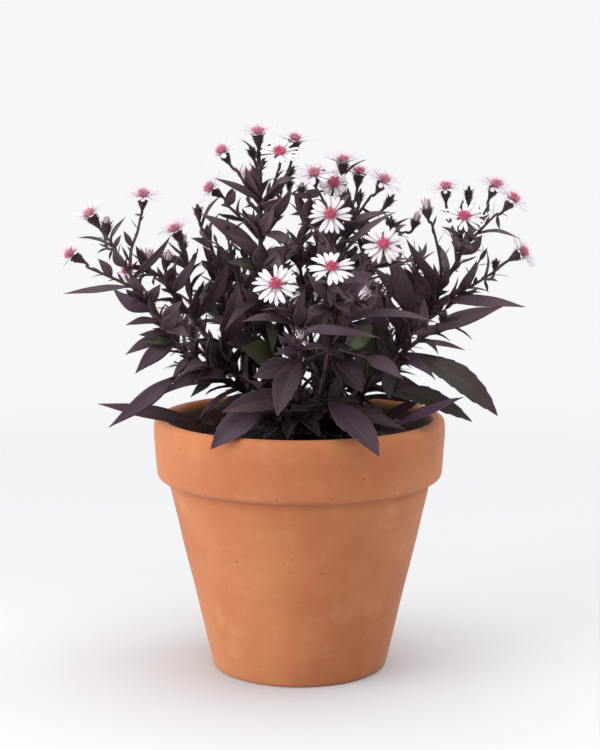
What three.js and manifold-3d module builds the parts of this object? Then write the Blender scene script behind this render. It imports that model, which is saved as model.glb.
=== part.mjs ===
// A calico aster with near-black purple leaves and small white daisies, growing in a terracotta pot.
// Millimetres, +Z up. The origin is the middle of the pot's underside; -Y is the plant's front.
import * as THREE from "three";
import { mergeVertices } from "three/addons/utils/BufferGeometryUtils.js";
import Module from "manifold-3d";

const wasm = await Module();
wasm.setup();

// Pot
const POT_HEIGHT = 105.3;
const RIM_RADIUS = 60.2;
const RIM_BAND = 25.1; // height of the rim band
const BAND_FOOT_RADIUS = 58.9; // the band tapers down to this
const BODY_TOP_RADIUS = 54.7; // just under the band
const POT_FOOT_RADIUS = 36.3;
const WALL_SLOPE = 0.2228; // the inner wall's lean, radius per height
const INNER_RIM_RADIUS = 55.2;
const POT_FLOOR = 7.5;
const DRAIN_RADIUS = 6.5;
const FOOT_ROUNDING = 1;
const BAND_ROUNDING = 2; // at the band's foot
const RIM_ROUNDING = 3.4; // at the rim's top, outside
const LIP_ROUNDING = 2; // and inside
const POT_SIDES = 32;

// Soil
const SOIL_TOP = 93.5;
const SOIL_LUMP = 1.1;
const SOIL_CROWN = 0.8; // the crust is higher in the middle, and lower at the wall, by this
const SOIL_RINGS = [44, 34, 22]; // radii of the crust's rings of points
const GAP = 0.32; // between pieces that touch

// Stems
const STEM_FOOT_Z = 82; // depth that the stems reach in the soil
const STEM_RADIUS = 1.55;
const HOLE_CLEARANCE = 0.5;
const HOLE_SIDES = 8;
const HOLE_HEIGHT = 30; // past the crust
const STALK_RADIUS = 0.6;
const STALK_STEPS = 3;
const LIMB_SIDES = 5;
const SAME_PLACE = 2.5; // a head that starts this near a shoot's end is carried by that end

// Leaves
const RIB_DEPTH = 0.8; // from the leaf's middle line down to its keel
const ROOT_HALF = 0.36; // where a leaf starts, deep in its stem
const FOLD = 0.1; // how far the edges rise beside the midrib, per half width
const TOOTHED_WIDTH = 7; // leaves wider than this have toothed edges
const TOOTH = 0.5;
const TEETH_FROM = 0.4; // share of the leaf's length that has none
const LEAST_HALF = 0.5; // half the width of a leaf near its tip
const SMALLEST_EDGE = 0.05; // finer detail than this is smoothed away where pieces grow together
const LARGEST_SCRAP = 0.05; // mm3
const CLEAR = 0.45; // least room between leaves of different stems
const OVERLAP = 0.3; // what leaves of one stem may share, since they grow together
const NEAR_ROOT = 5; // this near its root a leaf meets its own stem
const RIM_ROOM = 1.2; // between a leaf and the pot's rim
const CRUST_ROOM = 3.5; // between a leaf and the soil

// Heads: heights are along the head's own axis, from the plane of the rays
const CUP_HEIGHT = 5.2;
const CUP_RADIUS = 2.3;
const CUP_FOOT = 0.7;
const CUP_SCALE = 0.9; // how far the tips of its bracts stand off
const RAY_HUB = 2.3; // the rays leave a hub of this radius
const RAY_HALF = 0.42; // half the star's thickness in its middle
const RAY_RIDGE = 0.65;
const RAY_WIDTH = 2.1;
const FUSED_RAYS = 9;
const DISC_RADIUS = 2.75;
const DISC_RISE = 2.1;
const DISC_SIDES = 8;
const DISC_SOLE = 2.35; // radius of its flat underside
const FLORET = 0.8; // how far every other floret stands out
const HEAD_SPAN = 16.6; // across the tips of the rays
const BUD_SCALE = 0.5;

const V = (x, y, z) => new THREE.Vector3(x, y, z);
const vec = (p) => V(p[0], p[1], p[2]);
const radians = THREE.MathUtils.degToRad;

// Where each stem stands, how its shoots run, and how leafy they are.
// leaves: length at the foot of the shoot, length at its end, spacing.
const STEMS = {
  left_low: {
    foot: [-8, -5],
    shoots: [
      {
        path: [
          [-8, -5, 97], [-12, -6, 107], [-20, -8, 115], [-34, -14, 124], [-47, -18, 135],
          [-54, -19, 144], [-60, -18, 152], [-66, -16, 160], [-68, -14, 166],
        ],
        thick: [1.5, 0.8],
        leaves: [26, 10, 12],
      },
      { path: [[-68, -14, 165], [-72, -14, 171], [-75, -14, 177]], thick: [0.7, 0.6] },
      { path: [[-68, -14, 165], [-68, -8, 174], [-66, -1, 181], [-65, 3, 187]], thick: [0.7, 0.5] },
      { path: [[-65, -16, 159], [-75, -18, 164], [-84, -19, 168]], thick: [0.7, 0.5] },
    ],
  },
  left_inner: {
    foot: [-9, 5],
    shoots: [
      {
        path: [
          [-9, 5, 97], [-16, 6, 110], [-28, 4, 123], [-39, 0, 139], [-44, -2, 146],
          [-49, -4, 153], [-53, -6, 158], [-56, -8, 164],
        ],
        thick: [1.5, 0.7],
        leaves: [26, 9, 12],
      },
      { path: [[-44, -2, 146], [-45, 0, 157], [-46, 2, 167]], thick: [0.8, 0.6], leaves: [12, 11, 10] },
      {
        path: [[-15, 6, 109], [-22, 10, 128], [-28, 12, 148], [-34, 11, 165], [-38, 10, 179]],
        thick: [1.2, 0.7],
        leaves: [26, 8, 12],
      },
    ],
  },
  crown_left: {
    foot: [-1, 3],
    shoots: [
      {
        path: [
          [-1, 3, 97], [-4, 3, 115], [-11, 4, 136], [-15, 4, 156], [-16, 4, 177], [-16, 6, 192],
          [-16, 8, 204],
        ],
        thick: [1.55, 0.7],
        leaves: [30, 7, 12],
      },
      { path: [[-17, 5, 178], [-24, 6, 186], [-30, 6, 192]], thick: [0.7, 0.6], leaves: [12, 11, 10] },
      { path: [[-16, 6, 191], [-21, 4, 198], [-25, 2, 205]], thick: [0.7, 0.5] },
      { path: [[-16, 6, 192], [-11, 4, 199], [-9, 0, 205]], thick: [0.7, 0.5] },
    ],
  },
  crown_right: {
    foot: [7, 8],
    shoots: [
      {
        path: [[7, 8, 97], [10, 9, 115], [14, 10, 135], [17, 10, 160], [19, 10, 180], [20, 12, 193]],
        thick: [1.55, 0.7],
        leaves: [30, 7, 12],
      },
      { path: [[19, 10, 179], [12, 5, 189], [8, 0, 197]], thick: [0.7, 0.5] },
      { path: [[19, 10, 181], [25, 8, 189], [29, 6, 195]], thick: [0.7, 0.5] },
      { path: [[17, 10, 160], [27, 6, 171], [34, 0, 180]], thick: [0.8, 0.6], leaves: [16, 11, 12] },
      { path: [[28, 6, 172], [36, 9, 176], [43, 10, 180]], thick: [0.6, 0.5] },
    ],
  },
  front: {
    foot: [5, -9],
    shoots: [
      {
        path: [[5, -9, 97], [8, -15, 115], [12, -24, 136], [14, -29, 157], [13, -31, 173]],
        thick: [1.5, 0.7],
        leaves: [28, 8, 12],
      },
      { path: [[14, -28, 155], [23, -32, 167], [29, -36, 174]], thick: [0.8, 0.6], leaves: [14, 11, 10] },
      { path: [[13, -27, 149], [13, -38, 157], [12, -46, 164]], thick: [0.7, 0.6], leaves: [14, 11, 10] },
      { path: [[12, -24, 137], [18, -38, 147], [23, -48, 156]], thick: [0.8, 0.6], leaves: [16, 11, 12] },
      { path: [[6, -11, 104], [11, -26, 112], [12, -36, 117]], thick: [1.1, 0.9], leaves: [22, 20, 12] },
    ],
  },
  front_low: {
    foot: [-2, -15],
    shoots: [
      {
        path: [[-2, -15, 97], [-1, -25, 112], [0, -35, 127], [0, -40, 141], [-3, -44, 153]],
        thick: [1.4, 0.7],
        leaves: [24, 8, 12],
      },
      { path: [[0, -38, 134], [0, -52, 141], [0, -61, 144]], thick: [0.7, 0.6], leaves: [12, 11, 10] },
      { path: [[-2, -18, 102], [-9, -26, 110], [-15, -31, 114]], thick: [1.1, 0.9], leaves: [20, 18, 12] },
    ],
  },
  right_inner: {
    foot: [13, 2],
    shoots: [
      {
        path: [
          [13, 2, 97], [20, 1, 110], [33, 0, 125], [47, -2, 141], [54, -3, 151],
          [59, -4, 161], [64, -4, 169], [66, -6, 177],
        ],
        thick: [1.55, 0.8],
        leaves: [28, 8, 12],
      },
      { path: [[58, -4, 160], [57, -7, 169], [55, -9, 178], [53, -10, 185]], thick: [0.7, 0.5] },
      { path: [[64, -4, 168], [63, 2, 180], [61, 7, 189]], thick: [0.7, 0.5] },
      { path: [[65, -5, 173], [72, 1, 183], [77, 4, 191]], thick: [0.7, 0.5] },
      { path: [[66, -6, 175], [72, -6, 181], [79, -5, 188]], thick: [0.6, 0.5] },
      {
        path: [[49, -2, 144], [60, -7, 155], [70, -9, 160], [79, -10, 166]], thick: [0.8, 0.5],
        leaves: [12, 11, 10],
      },
    ],
  },
  right_low: {
    foot: [14, -8],
    shoots: [
      {
        path: [
          [14, -8, 97], [17, -11, 106], [24, -14, 115], [33, -18, 125], [41, -22, 134],
          [48, -24, 140], [57, -24, 146],
        ],
        thick: [1.4, 0.8],
        leaves: [28, 8, 12],
      },
      { path: [[15, -9, 99], [24, -11, 101], [33, -14, 103]], thick: [1, 0.8], leaves: [22, 18, 12] },
    ],
  },
  back_left: {
    foot: [-5, 14],
    shoots: [
      {
        path: [[-5, 14, 97], [-11, 19, 112], [-18, 26, 128], [-22, 34, 142], [-22, 39, 153]],
        thick: [1.5, 0.7],
        leaves: [30, 12, 13],
      },
      { path: [[-18, 26, 128], [-28, 33, 136], [-36, 39, 141]], thick: [1, 0.6], leaves: [22, 11, 10] },
      { path: [[-20, 30, 135], [-25, 44, 137], [-28, 54, 139]], thick: [0.9, 0.6], leaves: [20, 11, 12] },
      {
        path: [[-10, 18, 109], [-26, 30, 117], [-40, 40, 124], [-46, 44, 129]], thick: [1.2, 0.6],
        leaves: [26, 11, 14],
      },
    ],
  },
  back_right: {
    foot: [6, 19],
    shoots: [
      {
        path: [[6, 19, 97], [9, 25, 112], [13, 33, 130], [15, 40, 148], [15, 45, 166], [14, 49, 180]],
        thick: [1.5, 0.7],
        leaves: [30, 12, 13],
      },
      {
        path: [[13, 33, 131], [20, 39, 138], [27, 46, 145]], thick: [1, 0.6],
        leaves: [24, 11, 10],
      },
      { path: [[14, 36, 136], [9, 50, 139], [5, 61, 143]], thick: [0.9, 0.6], leaves: [20, 11, 12] },
      {
        path: [[9, 25, 112], [24, 36, 120], [39, 42, 127], [46, 43, 131]], thick: [1.2, 0.6],
        leaves: [26, 11, 14],
      },
    ],
  },
};

// The open heads that have solids of their own. at: the middle of the rays' plane; faces: where the head
// looks; lift: how far the rays rise from that plane, in degrees; from: where its stalk leaves the shoot.
const HEADS = [
  { stem: "crown_left", at: [-17, 8, 220], faces: [-0.05, -0.35, 1], lift: 20, from: [-16, 8, 203] },
  { stem: "crown_left", at: [-31, 0, 213], faces: [-0.45, -0.35, 0.8], lift: 4, from: [-25, 2, 204] },
  { stem: "crown_left", at: [-8, -5, 213], faces: [0, -0.6, 0.8], lift: 4, from: [-9, 0, 204] },
  { stem: "crown_left", at: [-2, 18, 217], faces: [0.15, -0.2, 1], lift: 14, from: [-12, 5, 198] },
  { stem: "crown_right", at: [18, 22, 208], faces: [0, -0.25, 1], lift: 22, from: [20, 12, 192] },
  { stem: "crown_right", at: [6, -2, 204], faces: [-0.1, -0.5, 0.85], lift: 4, from: [8, 0, 196] },
  {
    stem: "crown_right", at: [25, 28, 203], faces: [0.1, -0.3, 0.95], lift: 20,
    from: [20, 12, 191], span: 14,
  },
  { stem: "crown_right", at: [34, 4, 201], faces: [0.45, -0.45, 0.8], lift: 10, from: [29, 6, 194] },
  { stem: "front", at: [12, -35, 190], faces: [-0.05, -0.93, 0.38], lift: 2, from: [13, -31, 172] },
  { stem: "front", at: [32, -44, 179], faces: [0.05, -0.88, 0.47], lift: 2, from: [29, -36, 173] },
  {
    stem: "front", at: [12, -55, 171], faces: [0.03, -0.62, 0.78], lift: 0,
    from: [12, -46, 163], span: 18.5,
  },
  {
    stem: "front_low", at: [-9, -59, 165], faces: [-0.05, -0.82, 0.57], lift: 0,
    from: [-3, -44, 152], span: 17.6,
  },
  { stem: "crown_left", at: [-36, 6, 198], faces: [-0.75, -0.35, 0.55], lift: 8, from: [-30, 6, 191] },
  {
    stem: "crown_left", at: [-21, 16, 202], faces: [0.1, -0.3, 0.95], lift: 20,
    from: [-16, 6, 190], span: 13,
  },
  {
    stem: "left_inner", at: [-50, -3, 181], faces: [-0.4, -0.3, 0.85], lift: 20,
    from: [-46, 2, 166], span: 15,
  },
  { stem: "left_low", at: [-64, 4, 195], faces: [0.1, -0.3, 0.95], lift: 6, from: [-65, 3, 186] },
  { stem: "left_low", at: [-83, -14, 188], faces: [-0.5, -0.35, 0.8], lift: 22, from: [-75, -14, 176] },
  {
    stem: "left_low", at: [-90, -20, 173], faces: [-0.75, -0.35, 0.5], lift: 12,
    from: [-84, -19, 168], span: 15.6,
  },
  {
    stem: "crown_right", at: [14, 14, 200], faces: [0.1, -0.8, 0.35], lift: 4,
    from: [19, 11, 187], span: 13,
  },
  { stem: "right_inner", at: [60, 8, 198], faces: [-0.05, -0.3, 0.95], lift: 8, from: [61, 7, 188] },
  {
    stem: "right_inner", at: [65, -20, 188], faces: [0.05, -0.62, 0.78], lift: 2,
    from: [66, -6, 176], span: 17.6,
  },
  { stem: "right_inner", at: [80, 6, 199], faces: [0.35, -0.4, 0.85], lift: 8, from: [77, 4, 190] },
  {
    stem: "right_inner", at: [86, -4, 194], faces: [0.55, -0.35, 0.75], lift: 6,
    from: [79, -5, 187], span: 15.4,
  },
  {
    stem: "right_inner", at: [89, -10, 173], faces: [0.75, -0.35, 0.5], lift: 12,
    from: [79, -10, 165], span: 15.6,
  },
];

// The open heads past that count, which are grown into their stem's solid. Most are on the far side.
const FUSED_HEADS = [
  {
    stem: "left_low", at: [-71, 12, 164], faces: [-0.4, -0.55, 0.6], lift: 6,
    from: [-63, -17, 156], span: 13,
  },
  { stem: "back_left", at: [-20, 45, 162], faces: [-0.1, 0.3, 0.95], lift: 8, from: [-22, 39, 152] },
  { stem: "back_left", at: [-42, 44, 150], faces: [-0.4, 0.5, 0.75], lift: 6, from: [-36, 39, 140] },
  { stem: "back_left", at: [-30, 62, 146], faces: [-0.1, 0.75, 0.6], lift: 4, from: [-28, 54, 138] },
  { stem: "back_left", at: [-52, 48, 137], faces: [-0.55, 0.5, 0.6], lift: 6, from: [-46, 44, 128] },
  { stem: "back_right", at: [14, 55, 189], faces: [0.05, 0.35, 0.9], lift: 8, from: [14, 49, 179] },
  { stem: "back_right", at: [31, 51, 153], faces: [0.4, 0.45, 0.8], lift: 6, from: [27, 46, 144] },
  { stem: "back_right", at: [3, 69, 150], faces: [-0.05, 0.75, 0.6], lift: 2, from: [5, 61, 142] },
  { stem: "back_right", at: [52, 46, 139], faces: [0.6, 0.4, 0.65], lift: 8, from: [46, 43, 130] },
];

// Heads that haven't opened or are closing: size is the length of the whole head, tuft the share of it
// that is folded rays.
const FIRST_BUD = 60; // the buds' numbers start here
const BUDS = [
  {
    stem: "left_low", at: [-78, -6, 184], faces: [0.1, -0.15, 1], size: 8.6, tuft: 0.45,
    from: [-74, -14, 175],
  },
  {
    stem: "left_inner", at: [-61, -8, 171], faces: [0.15, -0.1, 1], size: 7.5, tuft: 0.5,
    from: [-56, -8, 163],
  },
  {
    stem: "left_inner", at: [-53, -12, 171], faces: [0.2, -0.4, 0.9], size: 7, tuft: 0.5,
    from: [-54, -7, 160],
  },
  { stem: "left_inner", at: [-48, 6, 176], faces: [0, -0.1, 1], size: 7, tuft: 0.5, from: [-46, 2, 165] },
  {
    stem: "left_inner", at: [-42, 10, 190], faces: [-0.1, -0.1, 1], size: 6.4, tuft: 0.25,
    from: [-38, 10, 178],
  },
  {
    stem: "front", at: [25, -56, 162], faces: [0.3, -0.6, 0.6], size: 6.4, tuft: 0.5,
    from: [23, -48, 155],
  },
  { stem: "front_low", at: [0, -71, 147], faces: [0, -0.95, 0.3], size: 6, tuft: 0.3, from: [0, -61, 144] },
  {
    stem: "right_inner", at: [51, -10, 191], faces: [-0.15, -0.1, 1], size: 8, tuft: 0.5,
    from: [53, -10, 184],
  },
  {
    stem: "crown_right", at: [48, 10, 185], faces: [0.3, -0.15, 0.9], size: 7, tuft: 0.5,
    from: [43, 10, 179],
  },
  {
    stem: "right_inner", at: [70, 13, 197], faces: [0, -0.1, 1], size: 6.2, tuft: 0.15,
    from: [63, 2, 178],
  },
  { stem: "crown_right", at: [1, 5, 199], faces: [0.1, -0.1, 1], size: 6.2, tuft: 0.3, from: [12, 5, 188] },
  {
    stem: "crown_right", at: [25, 14, 196], faces: [0.1, -0.1, 1], size: 5.6, tuft: 0.15,
    from: [19, 11, 184],
  },
  { stem: "crown_right", at: [38, 13, 194], faces: [0.6, 0, 0.8], size: 6, tuft: 0.15, from: [26, 8, 190] },
  {
    stem: "crown_right", at: [37, -5, 186], faces: [0.1, -0.2, 1], size: 6.2, tuft: 0.2,
    from: [34, 0, 179],
  },
  {
    stem: "crown_left", at: [-3, 8, 206], faces: [0.5, -0.2, 0.8], size: 5.4, tuft: 0.2,
    from: [-11, 4, 199],
  },
  {
    stem: "crown_left", at: [-20, 8, 214], faces: [-0.3, -0.3, 0.9], size: 5, tuft: 0.15,
    from: [-16, 8, 202],
  },
  {
    stem: "right_low", at: [57, -26, 150], faces: [0.1, -0.4, 0.9], size: 5.4, tuft: 0.15,
    from: [56, -24, 145],
  },
  {
    stem: "right_low", at: [62, -24, 147], faces: [0.7, -0.2, 0.6], size: 5, tuft: 0.15,
    from: [56, -24, 145],
  },
  {
    stem: "back_left", at: [-33, 46, 149], faces: [0.1, 0.5, 0.8], size: 6, tuft: 0.3,
    from: [-32, 37, 138],
  },
  {
    stem: "back_right", at: [22, 49, 153], faces: [-0.2, 0.4, 0.9], size: 6, tuft: 0.4,
    from: [24, 43, 142],
  },
];

// The leaves that show in their own place. top: where the upper face looks; arch: how far the blade
// bulges that way between its ends; wide leaves are toothed.
const LEAVES = {
  left_low: [
    { root: [-68, -16, 161], tip: [-94, -24, 158], width: 3.4, top: [-0.1, -0.7, 0.7], arch: 2 },
    { root: [-60, -18, 150], tip: [-74, -26, 161], width: 6.2, top: [-0.3, -1, -0.2], arch: 2 },
    { root: [-56, -19, 146], tip: [-69, -28, 146], width: 4.4, top: [0, -0.7, 0.7], arch: 1 },
    { root: [-53, -19, 141], tip: [-70, -20, 133], width: 3.6, top: [0, -0.9, 0.5], arch: 1.5 },
    { root: [-50, -19, 137], tip: [-65, -31, 127], width: 5.6, top: [0.2, -1, 0.5], arch: 2 },
    { root: [-42, -17, 131], tip: [-73, -40, 109], width: 6, top: [0.2, -1, 0.8], arch: 5 },
    { root: [-30, -12, 121], tip: [-80, -30, 114], width: 5.4, top: [0, -0.8, 0.8], arch: 3 },
    { root: [-26, -11, 119], tip: [-16, -44, 123], width: 8.2, top: [0.6, -0.6, 0.9], arch: 3 },
    { root: [-36, -15, 126], tip: [-46, -36, 128], width: 6.6, top: [0.2, -0.6, 0.9], arch: 4 },
    { root: [-67, -15, 164], tip: [-51, -17, 181], width: 3.6, top: [0.5, -0.8, -0.2], arch: 1 },
    { root: [-75, -14, 176], tip: [-88, -22, 180], width: 2.4, top: [0, -0.5, 0.8], arch: 1 },
    { root: [-72, -14, 171], tip: [-77, -24, 180], width: 5.2, top: [-0.4, -1, -0.2], arch: 1 },
    { root: [-55, -19, 146], tip: [-46, -27, 156], width: 4.8, top: [0.2, -1, 0.2], arch: 1 },
  ],
  left_inner: [
    { root: [-52, -6, 156], tip: [-41, -15, 172], width: 4.6, top: [0.4, -1, 0], arch: 2 },
    { root: [-43, -2, 145], tip: [-29, -10, 169], width: 6, top: [0.6, -0.9, -0.2], arch: 2 },
    { root: [-32, 3, 129], tip: [-25, -12, 161], width: 7.2, top: [0.1, -1, -0.3], arch: 2 },
    { root: [-30, 4, 126], tip: [-58, 2, 116], width: 4, top: [0, -0.7, 0.8], arch: 3 },
  ],
  crown_left: [
    { root: [-16, 7, 201], tip: [-23, 1, 214], width: 3.8, top: [-0.5, -1, -0.1], arch: 1 },
    { root: [-16, 6, 193], tip: [-35, -2, 203], width: 3.2, top: [-0.3, -0.8, 0.5], arch: 2 },
    { root: [-16, 4, 178], tip: [-41, -7, 190], width: 5.4, top: [-0.3, -0.8, 0.6], arch: 2 },
    { root: [-16, 5, 186], tip: [-3, -5, 200], width: 5.2, top: [0.5, -1, -0.2], arch: 2 },
    { root: [-13, 4, 144], tip: [-10, -24, 128], width: 8.6, top: [0, -0.6, 1], arch: 5 },
    { root: [-16, 4, 181], tip: [0, -12, 175], width: 4.4, top: [0.2, -0.8, 0.7], arch: 2 },
    { root: [-15, 4, 154], tip: [-30, -24, 143], width: 5, top: [-0.2, -0.7, 0.8], arch: 3 },
  ],
  crown_right: [
    { root: [18, 10, 172], tip: [39, -12, 190], width: 3.4, top: [-0.3, -0.8, 0.6], arch: 3 },
    { root: [16, 10, 148], tip: [30, -16, 166], width: 6.4, top: [-0.3, -1, 0.1], arch: 2 },
  ],
  front_low: [
    { root: [-15, -31, 114], tip: [-34, -58, 102], width: 7.6, top: [0.1, -0.7, 1], arch: 4 },
    { root: [-1, -26, 114], tip: [-30, -50, 113], width: 8.8, top: [-0.1, -1, 0.7], arch: 4 },
    { root: [0, -38, 133], tip: [-9, -63, 113], width: 9.4, top: [-0.2, -1, 0.5], arch: 4 },
    { root: [-1, -41, 147], tip: [-22, -58, 151], width: 5, top: [0, -0.7, 0.8], arch: 2 },
    { root: [0, -41, 145], tip: [31, -60, 145], width: 5.6, top: [0, -0.7, 0.8], arch: 4 },
  ],
  front: [
    { root: [12, -36, 117], tip: [30, -67, 100], width: 11.4, top: [0.4, -1, 0.9], arch: 4 },
    { root: [11, -26, 112], tip: [42, -40, 106], width: 7.6, top: [0.1, -0.8, 0.9], arch: 3 },
    { root: [13, -26, 139], tip: [40, -55, 128], width: 7.4, top: [0.2, -0.9, 0.8], arch: 4 },
    { root: [14, -29, 150], tip: [50, -36, 150], width: 5.4, top: [0, -0.7, 0.9], arch: 3 },
    { root: [25, -33, 169], tip: [43, -51, 174], width: 3.2, top: [-0.2, -0.7, 0.8], arch: 1 },
    { root: [11, -22, 131], tip: [25, -52, 121], width: 8, top: [0.3, -1, 0.6], arch: 4 },
    { root: [12, -24, 135], tip: [30, -22, 148], width: 6.2, top: [-0.3, -1, 0.5], arch: 2 },
    { root: [13, -27, 145], tip: [28, -36, 166], width: 6.6, top: [-0.4, -1, 0.3], arch: 2 },
  ],
  right_low: [
    { root: [33, -14, 103], tip: [64, -34, 119], width: 3.6, top: [-0.3, -0.3, 1], arch: -1 },
    { root: [41, -22, 134], tip: [78, -36, 111], width: 10.4, top: [0.4, -1, 0.8], arch: 6 },
    { root: [33, -18, 125], tip: [70, -27, 106], width: 8.4, top: [0.4, -1, 0.8], arch: 5 },
    { root: [38, -20, 131], tip: [53, -40, 126], width: 5.8, top: [0.1, -0.8, 0.9], arch: 3 },
    { root: [52, -24, 143], tip: [80, -32, 154], width: 5.8, top: [0.2, -1, 0.5], arch: 2 },
    { root: [47, -24, 139], tip: [66, -29, 136], width: 2.6, top: [0.1, -0.8, 0.8], arch: 2 },
  ],
  right_inner: [
    { root: [58, -6, 153], tip: [91, -18, 152], width: 5.4, top: [0, -0.8, 0.7], arch: 4 },
    { root: [36, 0, 128], tip: [32, -13, 163], width: 7, top: [-0.1, -1, -0.2], arch: 2 },
    { root: [48, -2, 142], tip: [39, -13, 171], width: 5.6, top: [-0.2, -1, -0.2], arch: 2 },
    { root: [72, -6, 181], tip: [88, -17, 179], width: 2.6, top: [0.1, -0.7, 0.8], arch: 2 },
    { root: [59, -4, 162], tip: [42, -19, 181], width: 4.6, top: [-0.5, -0.9, -0.1], arch: 2 },
    { root: [64, -8, 157], tip: [71, -15, 171], width: 4, top: [0.4, -1, -0.1], arch: 1 },
    { root: [65, -5, 172], tip: [73, -14, 181], width: 4.8, top: [0.4, -1, -0.1], arch: 1 },
  ],
};

// A repeatable draw between 0 and 1 for a seed and an index.
function draw(seed, index) {
  let x = (seed * 7919 + index * 104729 + 12345) % 2147483647;
  for (let turn = 0; turn < 3; turn++) x = (x * 16807) % 2147483647;
  return x / 2147483647;
}

// A shoot's own line, in straight runs from point to point.
function lineOf(path) {
  const line = new THREE.CurvePath();
  path.slice(1).forEach((p, k) => line.add(new THREE.LineCurve3(vec(path[k]), vec(p))));
  return line;
}

// The point of a stem's shoots that lies nearest to a place.
function nearestOnStem(name, place) {
  const found = new THREE.Vector3();
  const best = new THREE.Vector3(Infinity, 0, 0);
  for (const { path } of STEMS[name].shoots) {
    for (let k = 1; k < path.length; k++) {
      new THREE.Line3(vec(path[k - 1]), vec(path[k])).closestPointToPoint(place, true, found);
      if (found.distanceTo(place) < best.distanceTo(place)) best.copy(found);
    }
  }
  return best;
}

// Two directions square to an axis.
function across(axis) {
  const reference = Math.abs(axis.z) < 0.9 ? V(0, 0, 1) : V(1, 0, 0);
  const u = reference.clone().cross(axis).normalize();
  return [u, axis.clone().cross(u)];
}

// A closed mesh from rings of equally many points; an end is capped flat, or drawn to a single point.
function loft(rings) {
  const points = [];
  const faces = [];
  const starts = rings.map((ring) => {
    points.push(...ring);
    return points.length - ring.length;
  });
  for (let k = 0; k + 1 < rings.length; k++) {
    const [a, b] = [rings[k].length, rings[k + 1].length];
    const [i0, j0] = [starts[k], starts[k + 1]];
    const sides = Math.max(a, b);
    for (let i = 0; i < sides; i++) {
      const next = (i + 1) % sides;
      if (a === 1) faces.push([i0, j0 + i, j0 + next]);
      else if (b === 1) faces.push([i0 + i, j0, i0 + next]);
      else faces.push([i0 + i, j0 + i, i0 + next], [i0 + next, j0 + i, j0 + next]);
    }
  }
  const first = rings[0].length;
  const last = rings.at(-1).length;
  for (let i = 1; i + 1 < first; i++) faces.push([0, i, i + 1]);
  for (let i = 1; i + 1 < last; i++) faces.push([starts.at(-1), starts.at(-1) + i + 1, starts.at(-1) + i]);
  return closedMesh(points, faces);
}

// A geometry from points and faces, with the faces turned outwards.
function closedMesh(points, faces) {
  let volume = 0;
  for (const [a, b, c] of faces) volume += points[a].dot(points[b].clone().cross(points[c]));
  const outward = volume > 0 ? faces : faces.map(([a, b, c]) => [a, c, b]);
  const geometry = new THREE.BufferGeometry();
  geometry.setAttribute(
    "position",
    new THREE.Float32BufferAttribute(points.flatMap((p) => [p.x, p.y, p.z]), 3),
  );
  geometry.setIndex(outward.flat());
  return geometry;
}

function solidOf(geometry) {
  const bare = geometry.clone();
  bare.deleteAttribute("normal");
  bare.deleteAttribute("uv");
  const merged = mergeVertices(bare, 1e-4);
  return new wasm.Manifold(
    new wasm.Mesh({
      numProp: 3,
      vertProperties: merged.attributes.position.array,
      triVerts: new Uint32Array(merged.index.array),
    }),
  );
}

function geometryOf(solid) {
  const mesh = solid.getMesh();
  const geometry = new THREE.BufferGeometry();
  geometry.setAttribute("position", new THREE.BufferAttribute(mesh.vertProperties, 3));
  geometry.setIndex(new THREE.BufferAttribute(mesh.triVerts, 1));
  return geometry;
}

// Solids grown together as one body; scraps that touch nothing are dropped.
function fuse(solids) {
  const whole = wasm.Manifold.union(solids).simplify(SMALLEST_EDGE);
  const bodies = whole.decompose().sort((a, b) => b.volume() - a.volume());
  if (bodies.length > 1 && bodies[1].volume() > LARGEST_SCRAP) {
    const place = bodies[1].boundingBox();
    throw new Error("a piece near " + place.min.map(Math.round) + " isn't joined to its stem");
  }
  return bodies[0];
}

// A round limb through stations, each a point with a radius; jag makes every other side stand off,
// as the scales of a cup do, and a station without radius ends the limb in a point.
function limb(stations) {
  const last = stations.length - 1;
  let u;
  const rings = stations.map(({ point, radius, jag = 0 }, k) => {
    if (radius === 0) return [point];
    const from = stations[Math.max(k - 1, 0)].point;
    const ahead = stations[Math.min(k + 1, last)].point.clone().sub(from).normalize();
    u = u ? u.clone().addScaledVector(ahead, -u.dot(ahead)).normalize() : across(ahead)[0];
    const v = ahead.clone().cross(u);
    return Array.from({ length: LIMB_SIDES }, (_, i) => {
      const turn = (i / LIMB_SIDES) * 2 * Math.PI;
      const off = i % 2 ? 0 : jag;
      return point
        .clone()
        .addScaledVector(u, (radius + off) * Math.cos(turn))
        .addScaledVector(v, (radius + off) * Math.sin(turn))
        .addScaledVector(ahead, off * 0.6);
    });
  });
  return loft(rings);
}

// Half the width of a leaf, as a share of its greatest, from its root at 0 to its tip at 1.
function leafShape(t) {
  return Math.sin(Math.PI * t ** 0.9) ** 1.15 + 0.16 * (1 - t);
}

// The frame of a leaf at t: its midrib point, the direction across it and the way its top looks.
function leafFrame(leaf, t) {
  const chord = leaf.tip.clone().sub(leaf.root);
  const along = chord.clone().normalize();
  const up = leaf.top.clone().addScaledVector(along, -leaf.top.dot(along)).normalize();
  const middle = leaf.root.clone().addScaledVector(chord, 0.5).addScaledVector(up, 2 * leaf.arch);
  const path = new THREE.QuadraticBezierCurve3(leaf.root, middle, leaf.tip);
  const forward = path.getTangent(t);
  const side = forward.clone().cross(up).normalize();
  return { point: path.getPoint(t), side, normal: side.clone().cross(forward) };
}

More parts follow.
